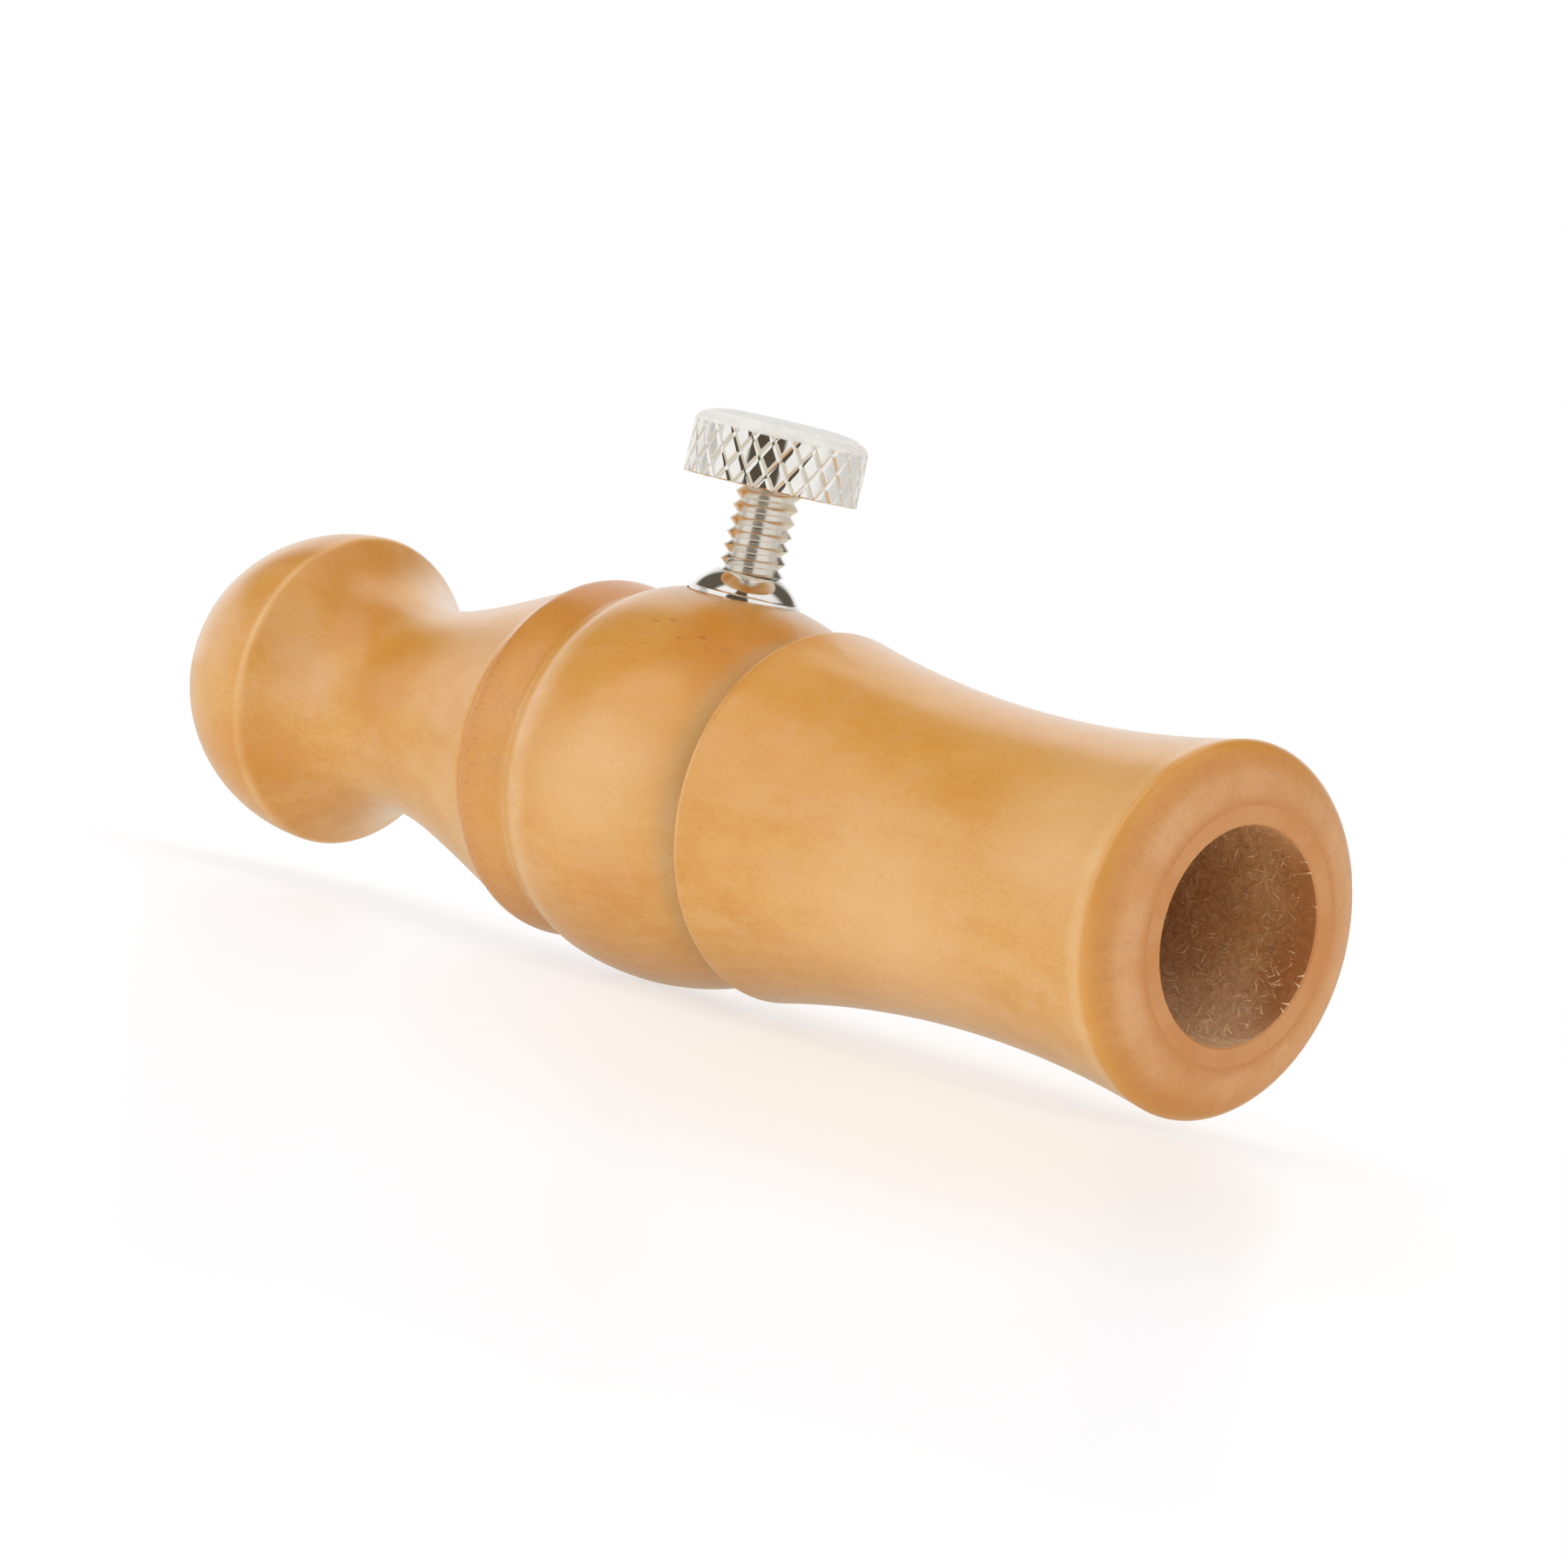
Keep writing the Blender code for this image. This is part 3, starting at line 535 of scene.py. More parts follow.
def makeFuzzTree():
    tree, sheet, start = newTree("wood fuzz", {
        "Density": "Float", "Thickness": "Float", "Length": "Float", "Seed": "Int", "Finish": "Material"})
    seed = start.out("Seed")
    points = sheet.add("GeometryNodeDistributePointsOnFaces", {"distribute_method": "RANDOM"}, {
        "Mesh": start, "Density": start.out("Density"), "Seed": seed})
    spike = sheet.add("GeometryNodeMeshCone", None, {
        "Vertices": 3, "Radius Top": 0.0, "Radius Bottom": start.out("Thickness"),
        "Depth": start.out("Length")})
    lean, spin, shortest = 1.1, 3.1, 0.35
    bend = sheet.add("FunctionNodeRandomValue", {"data_type": "FLOAT_VECTOR"}, {
        0: (-lean, -lean, -spin), 1: (lean, lean, spin), "Seed": seed})
    turned = sheet.add("FunctionNodeRotateRotation", {"rotation_space": "LOCAL"}, [
        points.out("Rotation"), bend])
    size = sheet.add("FunctionNodeRandomValue", {"data_type": "FLOAT"}, {
        2: shortest, 3: 1.0, "Seed": seed + 5}, output=1)
    shape = sheet.add("GeometryNodeInstanceOnPoints", None, {
        "Points": points, "Instance": spike, "Rotation": turned, "Scale": size})
    endTree(sheet, shape, start.out("Finish"))
    return tree


turningTree = makeTurningTree()
knurlTree = makeKnurlTree()
threadTree = makeThreadTree()
fuzzTree = makeFuzzTree()


# shaping

def newPiece(name, points=()):
    mesh = bpy.data.meshes.new(name)
    mesh.from_pydata([(along * mm, radius * mm, 0) for along, radius in points], [], [])
    obj = bpy.data.objects.new(name, mesh)
    scene.collection.objects.link(obj)
    return obj


def turnedPiece(name, outline, steps, finish, upright=False):
    closed = outline if outline[-1][1] == 0 else outline + outline[:1]  # a tube comes back to its start
    centre = (call["screwX"] * mm, 0, 0) if upright else (0, 0, call["axisHeight"] * mm)
    obj = newPiece(name, closed)
    runTree(obj, turningTree, {
        "Steps": steps, "Rows": len(closed), "Centre": centre, "Upright": upright, "Finish": finish})
    return outward(obj)


def outward(obj):
    shape = bmesh.new()
    shape.from_mesh(obj.data)
    bmesh.ops.remove_doubles(shape, verts=shape.verts, dist=weld["turned"])
    bmesh.ops.dissolve_degenerate(shape, edges=shape.edges, dist=weld["sliver"])
    bmesh.ops.recalc_face_normals(shape, faces=shape.faces)
    shape.to_mesh(obj.data)
    shape.free()
    return obj


def combine(obj, tool, operation):
    modifier = obj.modifiers.new(operation, "BOOLEAN")
    modifier.operation = operation
    modifier.object = tool
    modifier.solver = "MANIFOLD"
    plainMesh(obj)
    bpy.data.objects.remove(tool)


def crisp(obj, degrees):
    obj.data.shade_smooth()
    obj.data.set_sharp_from_angle(angle=math.radians(degrees))


def paint(obj, finishes, pick):  # pick gives a finish's number from a face's middle, in millimetres
    obj.data.materials.clear()
    for finish in finishes:
        obj.data.materials.append(finish)
    for face in obj.data.polygons:
        face.material_index = pick(*(face.center / mm))


def hangOn(obj, body, slot, *replaced):
    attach(obj, body)
    if replaced:
        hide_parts(*replaced)


def curve(start, end, rise, count):
    (x0, r0), (x1, r1) = start, end
    shares = [i / count for i in range(1, count + 1)]
    return [(x0 + (x1 - x0) * t, r0 + (r1 - r0) * rise(t)) for t in shares]


def coveUp(t):
    return t * t


def coveDown(t):
    return 1 - (1 - t) ** 2


def straight(t):
    return t


def quarter(centre, along, across, count, power=2.0):
    turns = [math.pi / 2 * i / count for i in range(1, count)]
    swing = [(math.cos(a) ** (2 / power), math.sin(a) ** (2 / power)) for a in turns] + [(0.0, 1.0)]
    return [(centre[0] + along * c, centre[1] + across * s) for c, s in swing]


def soften(outline, corner, reach):  # rounds one corner of an outline
    near = [i for i, point in enumerate(outline) if math.dist(point, corner) < reach]
    first, last, steps = near[0], near[-1], 10
    ends = (outline[first - 1], corner, outline[last + 1])
    rounded = []
    for i in range(1, steps):
        t = i / steps
        weights = ((1 - t) ** 2, 2 * t * (1 - t), t * t)
        rounded.append(tuple(sum(w * point[k] for w, point in zip(weights, ends)) for k in (0, 1)))
    return outline[:first] + rounded + outline[last + 1:]


def fromAxis(x, y, z):
    return math.hypot(y, z - call["axisHeight"])


# horn

horn = {
    "bellR": 11.7, "faceR": 8.2, "rimPower": 1.55, "waistR": 10.0, "waistFromBell": 19.4,
    "shoulderR": 11.7, "shoulderRound": 0.75, "boreR": 6.8, "boreEdge": 0.12, "socketR": 8.5,
    "socketFloor": 16.55, "steps": 192, "crispAngle": 38,
    "rimSteps": 32, "bellCoveSteps": 34, "ballCoveSteps": 36, "cornerSteps": 8, "faceSteps": 4,
    "socketSteps": 6, "boreSteps": 24,
}


def makeHorn():
    bell, shoulder, floor = call["bellX"], call["shoulderX"], horn["socketFloor"]
    rim, waist = (call["creaseX"], horn["bellR"]), (bell - horn["waistFromBell"], horn["waistR"])
    rounding, faceR, boreR, socketR = (horn[key] for key in ("shoulderRound", "faceR", "boreR", "socketR"))
    edge = (shoulder + rounding, horn["shoulderR"])
    outline = [(bell, faceR)]
    outline += quarter(
        (rim[0], faceR), bell - rim[0], horn["bellR"] - faceR, horn["rimSteps"], horn["rimPower"])
    outline += curve(rim, waist, coveDown, horn["bellCoveSteps"])
    outline += curve(waist, edge, coveUp, horn["ballCoveSteps"])
    corner = quarter((edge[0], edge[1] - rounding), -rounding, rounding, horn["cornerSteps"])
    outline += [(edge[0] - rounding * 0.02, edge[1])] + corner[-2::-1] + [(shoulder, edge[1] - rounding)]
    outline += curve((shoulder, edge[1] - rounding), (shoulder, socketR), straight, horn["faceSteps"])
    outline += curve((shoulder, socketR), (floor, socketR), straight, horn["socketSteps"])
    outline += [(floor, boreR)]
    outline += curve((floor, boreR), (bell - horn["boreEdge"], boreR), straight, horn["boreSteps"])
    outline += [(bell, boreR + horn["boreEdge"])]
    piece = turnedPiece("horn_turned", outline, horn["steps"], wood)
    boreSlack, floorSlack, wallSlack = 0.02, 0.1, 0.05

    def isRaw(x, y, z):
        radius = fromAxis(x, y, z)
        return int(radius < boreR + boreSlack or (x < floor + floorSlack and radius < socketR + wallSlack))

    paint(piece, (wood, bore), isRaw)
    crisp(piece, horn["crispAngle"])
    hangOn(piece, "horn", "wood", "horn")


fuzz = {
    "inset": 1.2, "depth": 13.0, "wall": 0.01, "steps": 48, "perSquareMillimetre": 7.0,
    "thickness": 0.04, "length": 0.85, "seed": 11,
}


def makeFuzz():
    front, inner = call["bellX"] - fuzz["inset"], horn["boreR"]
    back, outer = front - fuzz["depth"], inner + fuzz["wall"]
    outline = [(front, inner), (back, inner), (back, outer), (front, outer)]
    piece = turnedPiece("bore_fuzz", outline, fuzz["steps"], bore)
    piece.data.flip_normals()
    runTree(piece, fuzzTree, {
        "Density": fuzz["perSquareMillimetre"] * 1000000 / 2,  # the thin wall has two sides
        "Thickness": fuzz["thickness"] * mm, "Length": fuzz["length"] * mm, "Seed": fuzz["seed"],
        "Finish": fuzzWood})
    hangOn(piece, "horn", "wood")


splinters = {
    "places": (  # turn round the bore, depth, length, way it lies
        (42.0, 0.1, 1.2, 185.0), (49.0, 0.1, 0.5, 170.0), (22.0, 0.1, 0.35, 150.0), (-14.0, 0.1, 0.45, 210.0),
        (-20.0, 0.1, 0.4, 160.0), (-31.0, 0.1, 0.5, 200.0), (-36.0, 0.1, 0.35, 150.0)),
    "thickness": 0.07, "tip": 0.15, "sides": 5, "lift": 24.0, "standsOut": 0.45, "crispAngle": 50,
}


def makeSplinters():
    shape = bmesh.new()
    thick, alongCall = splinters["thickness"] * mm, Vector((1, 0, 0))
    for degrees, depth, length, lean in splinters["places"]:
        spike = bmesh.ops.create_cone(
            shape, cap_ends=True, segments=splinters["sides"], radius1=thick,
            radius2=thick * splinters["tip"], depth=length * mm)["verts"]
        turn, lie, lift = math.radians(degrees), math.radians(lean), math.radians(splinters["lift"])
        inward = Vector((0, -math.cos(turn), -math.sin(turn)))
        flat = alongCall * math.cos(lie) + inward.cross(alongCall) * math.sin(lie)
        along = flat * math.cos(lift) + inward * math.sin(lift)
        foot = Vector((call["bellX"] - depth, 0, call["axisHeight"])) - inward * horn["boreR"]
        middle = (foot + along * (length * splinters["standsOut"])) * mm
        turned = along.to_track_quat("Z", "X").to_matrix().to_4x4()
        bmesh.ops.transform(shape, verts=spike, matrix=Matrix.Translation(middle) @ turned)
    piece = newPiece("bore_splinters")
    shape.to_mesh(piece.data)
    shape.free()
    piece.data.materials.append(fuzzWood)
    crisp(outward(piece), splinters["crispAngle"])
    hangOn(piece, "horn", "wood")


makeHorn()
makeFuzz()
makeSplinters()
print("horn turned, bore fuzzed")


# barrel

barrel = {
    "ballR": 12.5, "ballMeridianR": 18.5, "ballEdge": 1.3, "grooveR": 10.9, "ringR": 11.4, "ringStep": 0.3,
    "flareR": 10.95, "flareKnee": 0.28, "neckR": 6.7,
    "knobR": 10.05, "domeLength": 9.2, "mouthFaceR": 5.6, "mouthBoreR": 2.2, "mouthEdge": 0.35,
    "tenonR": 8.2, "tenonEnd": 15.95, "tenonChamfer": 0.5, "oRingFloorR": 7.2, "oRingGroove": 1.6,
    "oRingPlaces": (9.05, 13.25), "chamberR": 5.0, "chamberEnd": -13.55,
    "softened": {"knob": 0.3, "ballEnd": 1.0, "valley": 0.6, "crest": 0.75, "foot": 0.5},
    "steps": 192, "crispAngle": 34, "seatSteps": 4, "ballSteps": 64, "grooveSteps": 8, "ringSteps": 28,
    "ringStepSteps": 5, "flareSteps": 40, "neckSteps": 24, "domeSteps": 36, "mouthSteps": 5,
    "mouthBoreSteps": 20, "chamberSteps": 18,
}
bushHole = {"holeR": 3.1, "spotR": 3.7, "spotZ": 24.5, "drillTop": 40.0, "steps": 96}


def ballRadius(x):
    drop = barrel["ballMeridianR"] - math.sqrt(barrel["ballMeridianR"] ** 2 - (x - call["screwX"]) ** 2)
    return barrel["ballR"] - drop


def flare(t):
    knee = barrel["flareKnee"]
    return 1 - (math.hypot(knee, 1 - t) - knee) / (math.hypot(knee, 1) - knee)


def tenonOutline():
    tenonR, end = barrel["tenonR"], barrel["tenonEnd"]
    outline = [(end, tenonR - barrel["tenonChamfer"]), (end - barrel["tenonChamfer"], tenonR)]
    half = barrel["oRingGroove"] / 2
    for middle in reversed(barrel["oRingPlaces"]):
        outline += [(middle + half, tenonR), (middle + half, barrel["oRingFloorR"]),
                    (middle - half, barrel["oRingFloorR"]), (middle - half, tenonR)]
    return outline + [(call["seatX"], tenonR)]


def barrelOutline():
    seat, groove, ringEnd = call["seatX"], call["grooveX"], call["ringEndX"]
    mouth, mouthBore, mouthEdge = call["mouthX"], barrel["mouthBoreR"], barrel["mouthEdge"]
    chamberEnd, chamberR = barrel["chamberEnd"], barrel["chamberR"]
    ballEnd = (groove + barrel["ballEdge"], ballRadius(groove + barrel["ballEdge"]))
    valley, foot = (groove, barrel["grooveR"]), (ringEnd, barrel["flareR"])
    crest = (ringEnd + barrel["ringStep"], barrel["ringR"])
    neck, knob = (call["neckX"], barrel["neckR"]), (call["knobX"], barrel["knobR"])

    outline = tenonOutline()
    outline += curve((seat, barrel["tenonR"]), (seat, ballRadius(seat)), straight, barrel["seatSteps"])
    ball = [seat + (ballEnd[0] - seat) * i / barrel["ballSteps"] for i in range(1, barrel["ballSteps"])]
    outline += [(x, ballRadius(x)) for x in ball] + [ballEnd]
    outline += curve(ballEnd, valley, straight, barrel["grooveSteps"])
    outline += curve(valley, crest, coveDown, barrel["ringSteps"])
    outline += curve(crest, foot, straight, barrel["ringStepSteps"])
    outline += curve(foot, neck, flare, barrel["flareSteps"])
    outline += curve(neck, knob, coveUp, barrel["neckSteps"])
    domeReach = barrel["domeLength"] / math.sqrt(1 - (barrel["mouthFaceR"] / barrel["knobR"]) ** 2)
    for i in range(1, barrel["domeSteps"] + 1):
        lean = math.asin(barrel["domeLength"] / domeReach) * i / barrel["domeSteps"]
        outline.append((knob[0] - domeReach * math.sin(lean), barrel["knobR"] * math.cos(lean)))
    outline += curve(outline[-1], (mouth, mouthBore + mouthEdge), straight, barrel["mouthSteps"])
    inMouth = (mouth + mouthEdge, mouthBore)
    outline += [inMouth] + curve(inMouth, (chamberEnd, mouthBore), straight, barrel["mouthBoreSteps"])
    outline += [(chamberEnd, chamberR)]
    outline += curve((chamberEnd, chamberR), (barrel["tenonEnd"], chamberR), straight, barrel["chamberSteps"])
    corners = {"knob": knob, "ballEnd": ballEnd, "valley": valley, "crest": crest, "foot": foot}
    for name, reach in barrel["softened"].items():
        outline = soften(outline, corners[name], reach)
    return outline


def makeBarrel():
    piece = turnedPiece("barrel_turned", barrelOutline(), barrel["steps"], wood)
    holeR, spotR, spotZ, top = (bushHole[key] for key in ("holeR", "spotR", "spotZ", "drillTop"))
    low = call["axisHeight"]
    drill = [(low, 0), (low, holeR), (spotZ, holeR), (spotZ, spotR), (top, spotR), (top, 0)]
    combine(piece, turnedPiece("drill", drill, bushHole["steps"], wood, upright=True), "DIFFERENCE")
    wallSlack, mouthSlack, seatSlack = 0.05, 0.3, 0.02

    def isRaw(x, y, z):
        radius = fromAxis(x, y, z)
        inChamber = radius < barrel["chamberR"] + wallSlack and x > call["mouthX"] + mouthSlack
        onTenon = radius < barrel["tenonR"] + wallSlack and x > call["seatX"] - seatSlack
        inHole = math.hypot(x - call["screwX"], y) < spotR + seatSlack and z > low
        return int(inChamber or onTenon or inHole)

    paint(piece, (wood, bore), isRaw)
    crisp(piece, barrel["crispAngle"])
    hangOn(piece, "barrel", "wood", "barrel")


oRing = {"ringR": 7.85, "sectionR": 0.55, "sectionSteps": 14, "steps": 96}


def makeORings():
    ringR, sectionR, count = oRing["ringR"], oRing["sectionR"], oRing["sectionSteps"]
    turns = [2 * math.pi * i / count for i in range(count)]
    for name, x in zip(("inner_o_ring", "outer_o_ring"), barrel["oRingPlaces"]):
        outline = [(x + sectionR * math.cos(a), ringR + sectionR * math.sin(a)) for a in turns]
        piece = turnedPiece(name + "_moulded", outline, oRing["steps"], rubber)
        piece.data.shade_smooth()
        hangOn(piece, "barrel", "rubber", name)


makeBarrel()
makeORings()
print("barrel turned and drilled, O-rings on")


# bush and thumbscrew

bush = {
    "boreR": 2.1, "shankR": 3.0, "bottom": 17.7, "flangeR": 3.55, "flangeZ": 24.5, "rim": 0.3,
    "rimRound": 0.12, "lip": 0.03, "lipDrop": 0.04, "capR": 4.04, "capSteps": 24, "steps": 96,
    "crispAngle": 40,
}


def makeBush():
    boreR, shankR, bottom, flangeR, flangeZ, rimRound = (
        bush[key] for key in ("boreR", "shankR", "bottom", "flangeR", "flangeZ", "rimRound"))
    base, count = flangeZ + bush["rim"], bush["capSteps"]
    inner, outer = boreR + bush["lip"], flangeR - rimRound
    drop = math.sqrt(bush["capR"] ** 2 - outer ** 2)

    def capHeight(radius):
        return base + math.sqrt(bush["capR"] ** 2 - radius ** 2) - drop

    radii = [inner + (outer - inner) * i / count for i in range(1, count + 1)]
    outline = [(capHeight(inner) - bush["lipDrop"], boreR), (capHeight(inner), inner)]
    outline += [(capHeight(radius), radius) for radius in radii]
    outline += [(base - rimRound * 0.35, flangeR - rimRound * 0.25), (base - rimRound, flangeR)]
    outline += [(flangeZ, flangeR), (flangeZ, shankR), (bottom, shankR), (bottom, boreR)]
    piece = turnedPiece("screw_bush_plated", outline, bush["steps"], plate, upright=True)
    crisp(piece, bush["crispAngle"])
    hangOn(piece, "barrel", "nickel_plate", "screw_bush")


screw = {
    "headR": 5.55, "headZ": 31.6, "headHeight": 3.5, "chamfer": 0.08, "chamferSteps": 5,
    "crown": 0.9, "crownPower": 4.5, "crownEdge": 0.25, "crownSteps": 40,
    "diamonds": 26, "columnsPerDiamond": 20, "knurlLean": 32.0, "knurlDepth": 0.08, "grooveShare": 0.29,
    "knurlTurn": -0.356, "knurlDrop": 0.22,
    "radius": 2.05, "threadDepth": 0.4, "pitch": 0.85, "crest": 0.03, "threadStart": -0.22,
    "threadColumns": 64, "threadRows": 16, "spareTurns": 4, "shankEnd": 17.55, "shankInHead": 1.0,
    "noseR": 1.2, "noseLength": 1.5, "noseChamfer": 0.15, "noseInShank": 1.5, "noseSteps": 48,
    "crispAngle": 32,
}


def headOutline(rowHeight):
    headR, chamfer, count = screw["headR"], screw["chamfer"], screw["crownSteps"]
    bottom, edge = screw["headZ"], headR - chamfer
    top = bottom + screw["headHeight"] - screw["crownEdge"]
    rise = screw["crown"] + screw["crownEdge"]
    shares = [math.sin(math.pi / 2 * i / count) for i in range(count + 1)]
    outline = [(top + rise * (1 - t ** screw["crownPower"]) ** 0.5, headR * t) for t in shares]
    rimRows = round((top - bottom - chamfer) / rowHeight)
    outline += curve((top, headR), (bottom + chamfer, headR), straight, rimRows)
    outline += curve((bottom + chamfer, headR), (bottom, edge), straight, screw["chamferSteps"])
    return outline + [(bottom, edge * 0.66), (bottom, edge * 0.33), (bottom, 0)]


def makeHead():
    columns = screw["diamonds"] * screw["columnsPerDiamond"]
    lean = math.tan(math.radians(screw["knurlLean"]))
    columnWidth = 2 * math.pi * screw["headR"] / columns
    period = 2 * math.pi * screw["headR"] / screw["diamonds"]
    head = turnedPiece("thumbscrew_plated", headOutline(columnWidth / lean), columns, plate, upright=True)
    runTree(head, knurlTree, {
        "Centre": call["screwX"] * mm, "Base": (screw["headZ"] - screw["knurlDrop"]) * mm,
        "Radius": screw["headR"] * mm, "Diamonds": float(screw["diamonds"]), "Turn": screw["knurlTurn"],
        "Lean": lean / (period * mm), "Depth": screw["knurlDepth"] * mm, "Groove": screw["grooveShare"],
        "Finish": plate})
    return head


def makeShank():
    end = screw["shankEnd"]
    length = screw["headZ"] + screw["shankInHead"] - end
    shank = newPiece("shank")
    runTree(shank, threadTree, {
        "Columns": screw["threadColumns"], "Rows": screw["threadRows"],
        "Turns": math.ceil(length / screw["pitch"]) + screw["spareTurns"],
        "Centre": call["screwX"] * mm, "Bottom": end * mm, "Length": length * mm,
        "Radius": screw["radius"] * mm, "Depth": screw["threadDepth"] * mm, "Pitch": screw["pitch"] * mm,
        "Crest": screw["crest"], "Start": screw["threadStart"], "Finish": plate})
    return outward(shank)


def makeNose():
    top, noseR, chamfer = screw["shankEnd"] + screw["noseInShank"], screw["noseR"], screw["noseChamfer"]
    end = screw["shankEnd"] - screw["noseLength"]
    outline = [(top, 0), (top, noseR), (end + chamfer, noseR), (end, noseR - chamfer), (end, 0)]
    return turnedPiece("nose", outline, screw["noseSteps"], plate, upright=True)


def makeScrew():
    piece = makeHead()
    combine(piece, makeShank(), "UNION")
    combine(piece, makeNose(), "UNION")
    crisp(piece, screw["crispAngle"])
    hangOn(piece, "screw", "nickel_plate", "thumbscrew")


makeBush()
makeScrew()
print("bush and thumbscrew made")


# inner pieces keep their solids

for name, finish in {"toneboard": plastic, "reed_wedge": plastic, "reed": brass, "screw_foot": nylon}.items():
    nodes[name].data.materials.clear()
    nodes[name].data.materials.append(finish)


# floor, light, camera

view = {
    "lens": 280.0, "sensor": 36.0, "clip": (10.0, 10000.0), "azimuth": 43.65, "elevation": 2.442,
    "roll": 13.07, "distance": 729.7, "bellRight": -27.27, "bellUp": 9.142,
}

floorLook = {
    "radius": 420.0, "corners": 72, "bounce": (0.95, 0.94, 0.92), "seen": (0.22, 0.21, 0.20),
    "glow": (0.675, 0.68, 0.695), "mirrored": (0.50, 0.44, 0.345), "fill": (0.2, 0.2, 0.2), "far": (1, 1, 1),
    "fade": (250.0, 400.0), "gloss": 0.2, "roughness": 0.25,
    # painted reflection and shadow of the horn: a warm place on the paper in front of the bell
    "paintedReflection": (0.66, 0.622, 0.582), "paintedReflectionAt": (15.0, 65.0), "paintedReflectionTurn": 43.65, "paintedReflectionNarrow": 3.0,
    "paintedReflectionFade": (20.0, 115.0),  # a warm place on the paper in front of the bell
}


def makeFloor():
    corners, radius = floorLook["corners"], floorLook["radius"] * mm
    turns = [2 * math.pi * i / corners for i in range(corners)]
    mesh = bpy.data.meshes.new("floor")
    mesh.from_pydata([(radius * math.cos(a), radius * math.sin(a), 0) for a in turns], [], [range(corners)])
    floor = bpy.data.objects.new("floor", mesh)
    scene.collection.objects.link(floor)
    finish = bpy.data.materials.new("white_paper")
    finish.use_nodes = True
    finish.node_tree.nodes.clear()
    sheet = NodeSheet(finish.node_tree)
    ray = sheet.add("ShaderNodeLightPath")
    seen = ray.maths("MAXIMUM", ray.out("Is Transmission Ray")).maths("MAXIMUM", ray.out("Is Glossy Ray"))
    place = sheet.scaled(sheet.add("ShaderNodeTexCoord").out("Object"), inMillimetres)
    away = sheet.vectorMaths("LENGTH", place, output="Value")
    x, y = sheet.split(place)[:2]
    # painted reflection and shadow of the horn on the paper, as a warm ellipse in front of the bell
    turn, (reflectionAside, reflectionAhead) = math.radians(floorLook["paintedReflectionTurn"]), floorLook["paintedReflectionAt"]
    aside = x * math.cos(turn) + y * math.sin(turn) - reflectionAside
    ahead = x * math.sin(turn) - y * math.cos(turn) - reflectionAhead
    fromPaintedReflection = ((aside * floorLook["paintedReflectionNarrow"]) ** 2 + ahead ** 2) ** 0.5
    glow = sheet.mixed(sheet.between(fromPaintedReflection, *floorLook["paintedReflectionFade"]), floorLook["paintedReflection"], floorLook["glow"])
    glow = sheet.mixed(ray.out("Is Glossy Ray"), glow, floorLook["mirrored"])
    glow = sheet.mixed(sheet.between(away, *floorLook["fade"]), glow, floorLook["far"])
    glow = sheet.mixed(seen, floorLook["fill"], glow)
    white = sheet.mixed(seen, floorLook["bounce"], floorLook["seen"])
    paper = sheet.add("ShaderNodeBsdfDiffuse", None, [white])
    gloss = sheet.add("ShaderNodeBsdfGlossy", None, {"Roughness": floorLook["roughness"]})
    paper = sheet.add("ShaderNodeMixShader", None, [ray * floorLook["gloss"], paper, gloss])
    light = sheet.add("ShaderNodeEmission", None, [glow])
    sheet.add("ShaderNodeOutputMaterial", None, [sheet.add("ShaderNodeAddShader", None, [paper, light])])
    mesh.materials.append(finish)


# light tent: level of its panels by turn from the camera, low and high up, as plated metal shows them
tent = {
    "wall": 1.0, "ceiling": 0.75, "wallTop": 36.0, "ceilingFrom": 46.0, "dark": (0.075, 0.055, 0.03),
    "lowTop": 12.0, "highFrom": 26.0, "zenithFrom": 68.0, "zenithTo": 80.0, "zenithShown": 0.03,
    "strip": 0.9, "stripSide": (0.10, 0.22), "stripFront": (-0.05, 0.15),
    "low": ((-180, 1.0), (-112, 0.9), (-104, 0.6), (-88, 0.6), (-80, 1.0), (-40, 1.0), (-36, 0.02), (6, 0.02),
            (10, 1.0), (55, 1.0), (75, 0.75), (125, 0.7), (150, 0.9), (180, 1.0)),
    "high": ((-180, 0.9), (-160, 0.9), (-148, 0.05), (-96, 0.05), (-86, 1.0), (-40, 1.0), (-35, 0.02),
             (5, 0.02), (10, 1.0), (100, 0.9), (116, 0.05), (150, 0.05), (165, 0.9), (180, 0.9)),
}


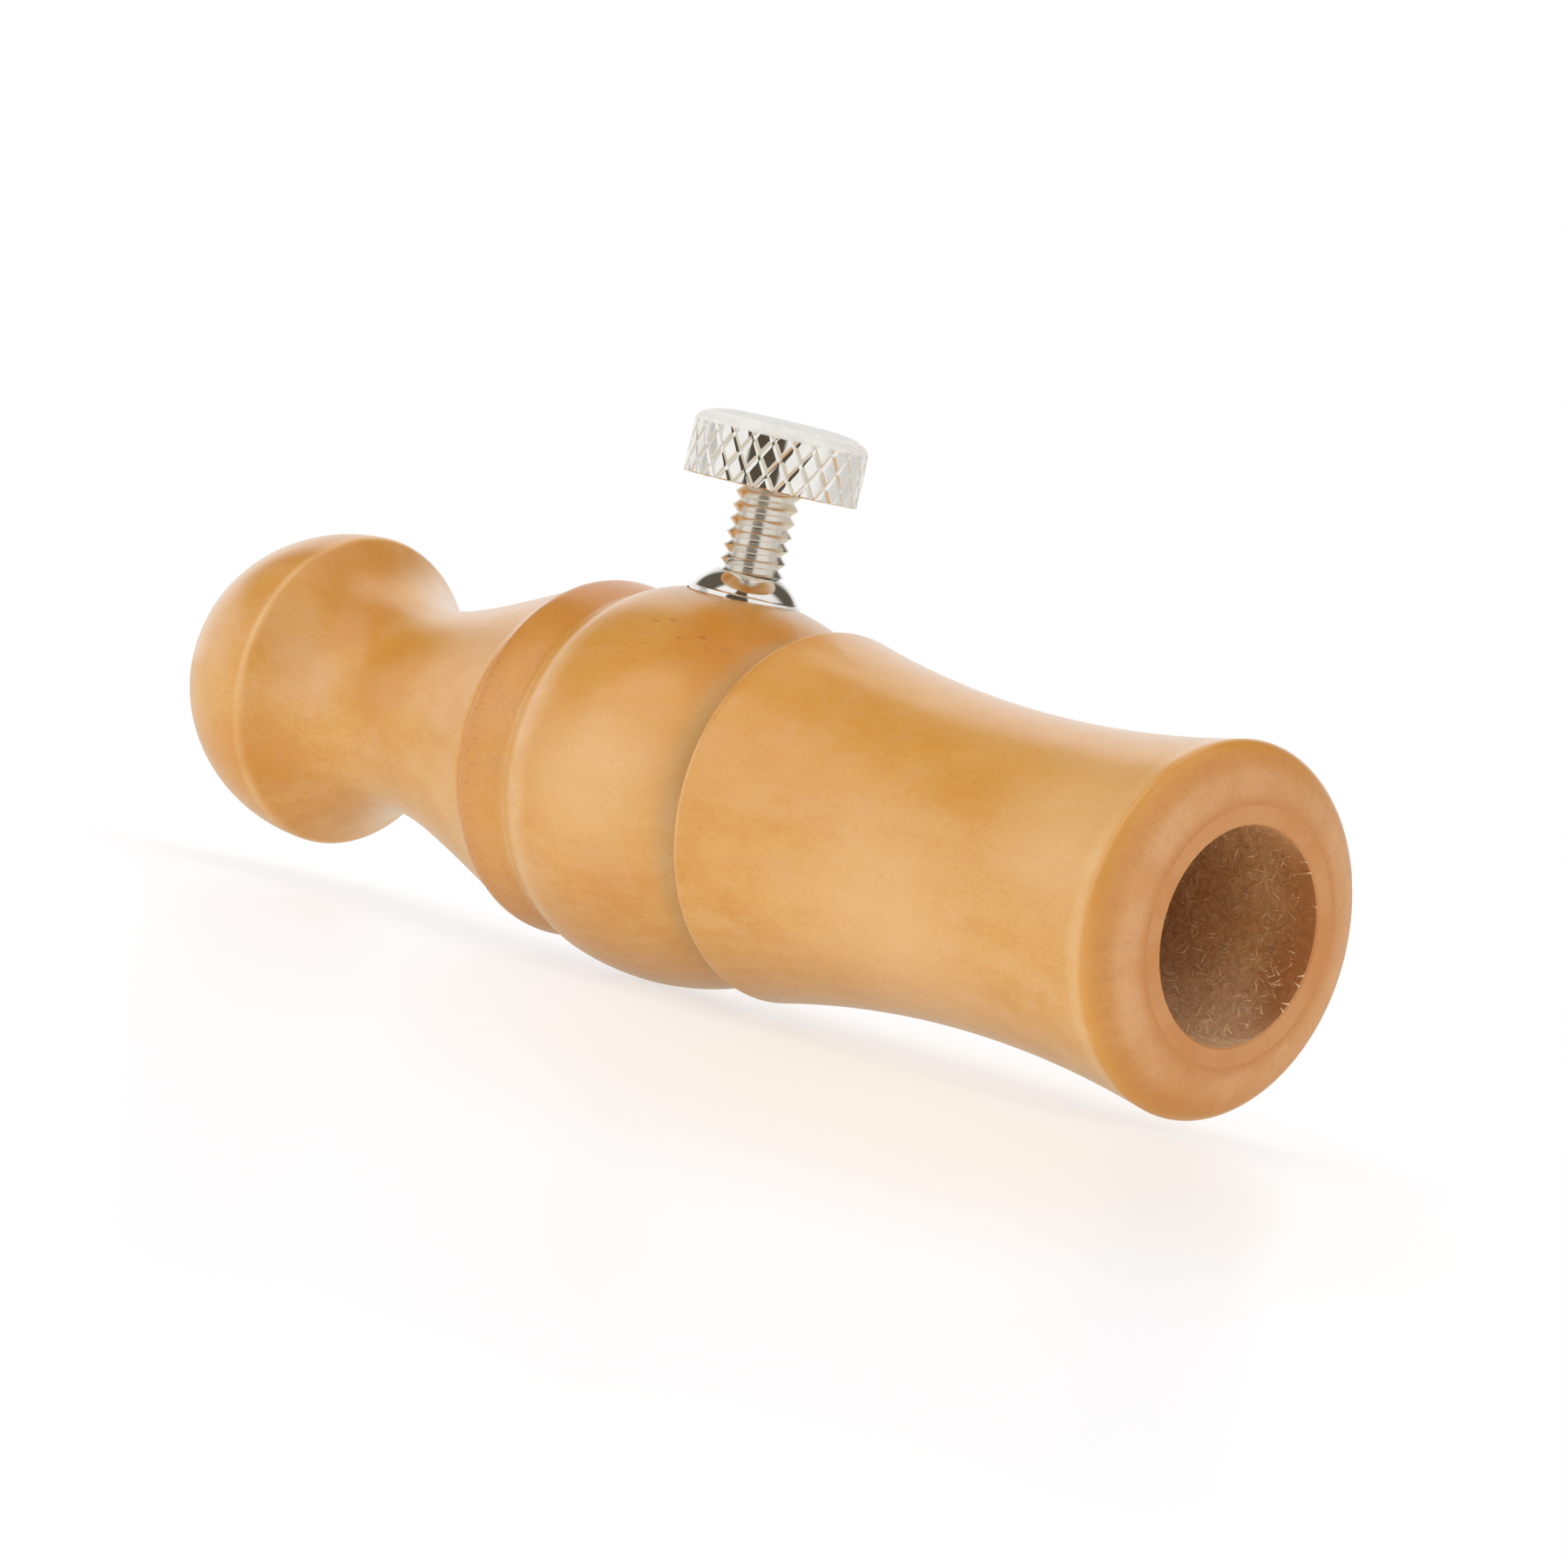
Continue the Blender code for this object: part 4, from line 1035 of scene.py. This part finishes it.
def makeWorld():
    world = bpy.data.worlds.new("white_tent")
    world.use_nodes = True
    scene.world = world
    background = world.node_tree.nodes["Background"]
    sheet = NodeSheet(world.node_tree)
    place = sheet.add("ShaderNodeTexCoord").out("Generated")
    height = sheet.split(place)[2]
    turn = math.radians(view["azimuth"])
    ahead = sheet.vectorMaths("DOT_PRODUCT", place, (math.sin(turn), -math.cos(turn), 0), output="Value")
    aside = sheet.vectorMaths("DOT_PRODUCT", place, (math.cos(turn), math.sin(turn), 0), output="Value")
    round360 = aside.maths("ARCTAN2", ahead) / (2 * math.pi) + 0.5

    def panels(stops):
        stops = [(degrees / 360 + 0.5, (level, level, level)) for degrees, level in stops]
        return sheet.add("ShaderNodeValToRGB", {"stops": stops}, [round360])

    def upTo(low, high):
        return sheet.between(height, *(math.sin(math.radians(tent[key])) for key in (low, high)))

    walls = sheet.mixed(upTo("lowTop", "highFrom"), panels(tent["low"]), panels(tent["high"]))
    shown = sheet.mixed(upTo("zenithFrom", "zenithTo"), walls, (tent["zenithShown"],) * 3)
    # a strip of white cloth hung from above, behind the call
    strip = 1 - sheet.between(aside.maths("ABSOLUTE"), *tent["stripSide"])
    strip = strip * (1 - sheet.between(ahead, *tent["stripFront"]))
    shown = sheet.mixed(strip, shown, (tent["strip"],) * 3)
    shown = sheet.mixed(shown, tent["dark"], (1, 1, 1))
    plain = sheet.mixed(upTo("wallTop", "ceilingFrom"), (tent["wall"],) * 3, (tent["ceiling"],) * 3)
    ray = sheet.add("ShaderNodeLightPath")
    colour = sheet.mixed(ray.out("Is Glossy Ray"), plain, shown)
    colour = sheet.mixed(ray.out("Is Camera Ray"), colour, (1, 1, 1))
    world.node_tree.links.new(colour.socket, background.inputs["Color"])


lamps = {
    "overhead": {"watts": 1.6, "size": 500.0, "at": (-120.0, 60.0, 700.0)},
    "front": {"watts": 0.5, "size": 400.0, "at": (-300.0, -700.0, 260.0)},
}


def makeLamps():
    for name, lamp in lamps.items():
        data = bpy.data.lights.new(name, "AREA")
        data.energy = lamp["watts"]
        data.size = lamp["size"] * mm
        light = bpy.data.objects.new(name, data)
        light.location = Vector(lamp["at"]) * mm
        aim = Vector((0, 0, call["axisHeight"] * mm)) - light.location
        light.visible_glossy = False
        light.rotation_euler = aim.to_track_quat("-Z", "Y").to_euler()
        scene.collection.objects.link(light)


def makeCamera():
    turn, rise, roll = (math.radians(view[key]) for key in ("azimuth", "elevation", "roll"))
    back = Vector((math.sin(turn) * math.cos(rise), -math.cos(turn) * math.cos(rise), math.sin(rise)))
    levelRight = Vector((math.cos(turn), math.sin(turn), 0))
    levelUp = back.cross(levelRight)
    right = levelRight * math.cos(roll) + levelUp * math.sin(roll)
    up = back.cross(right)
    bell = Vector((call["bellX"], 0, call["axisHeight"]))
    eye = (bell + right * view["bellRight"] + up * view["bellUp"] + back * view["distance"]) * mm
    camera = bpy.data.objects.new("camera", bpy.data.cameras.new("camera"))
    camera.data.lens = view["lens"]
    camera.data.sensor_width = view["sensor"]
    camera.data.clip_start, camera.data.clip_end = (reach * mm for reach in view["clip"])
    camera.matrix_world = Matrix.Translation(eye) @ Matrix((right, up, back)).transposed().to_4x4()
    scene.collection.objects.link(camera)
    scene.camera = camera


makeFloor()
makeWorld()
makeLamps()
makeCamera()
scene.view_settings.view_transform = "Standard"
print("floor, light and camera set")
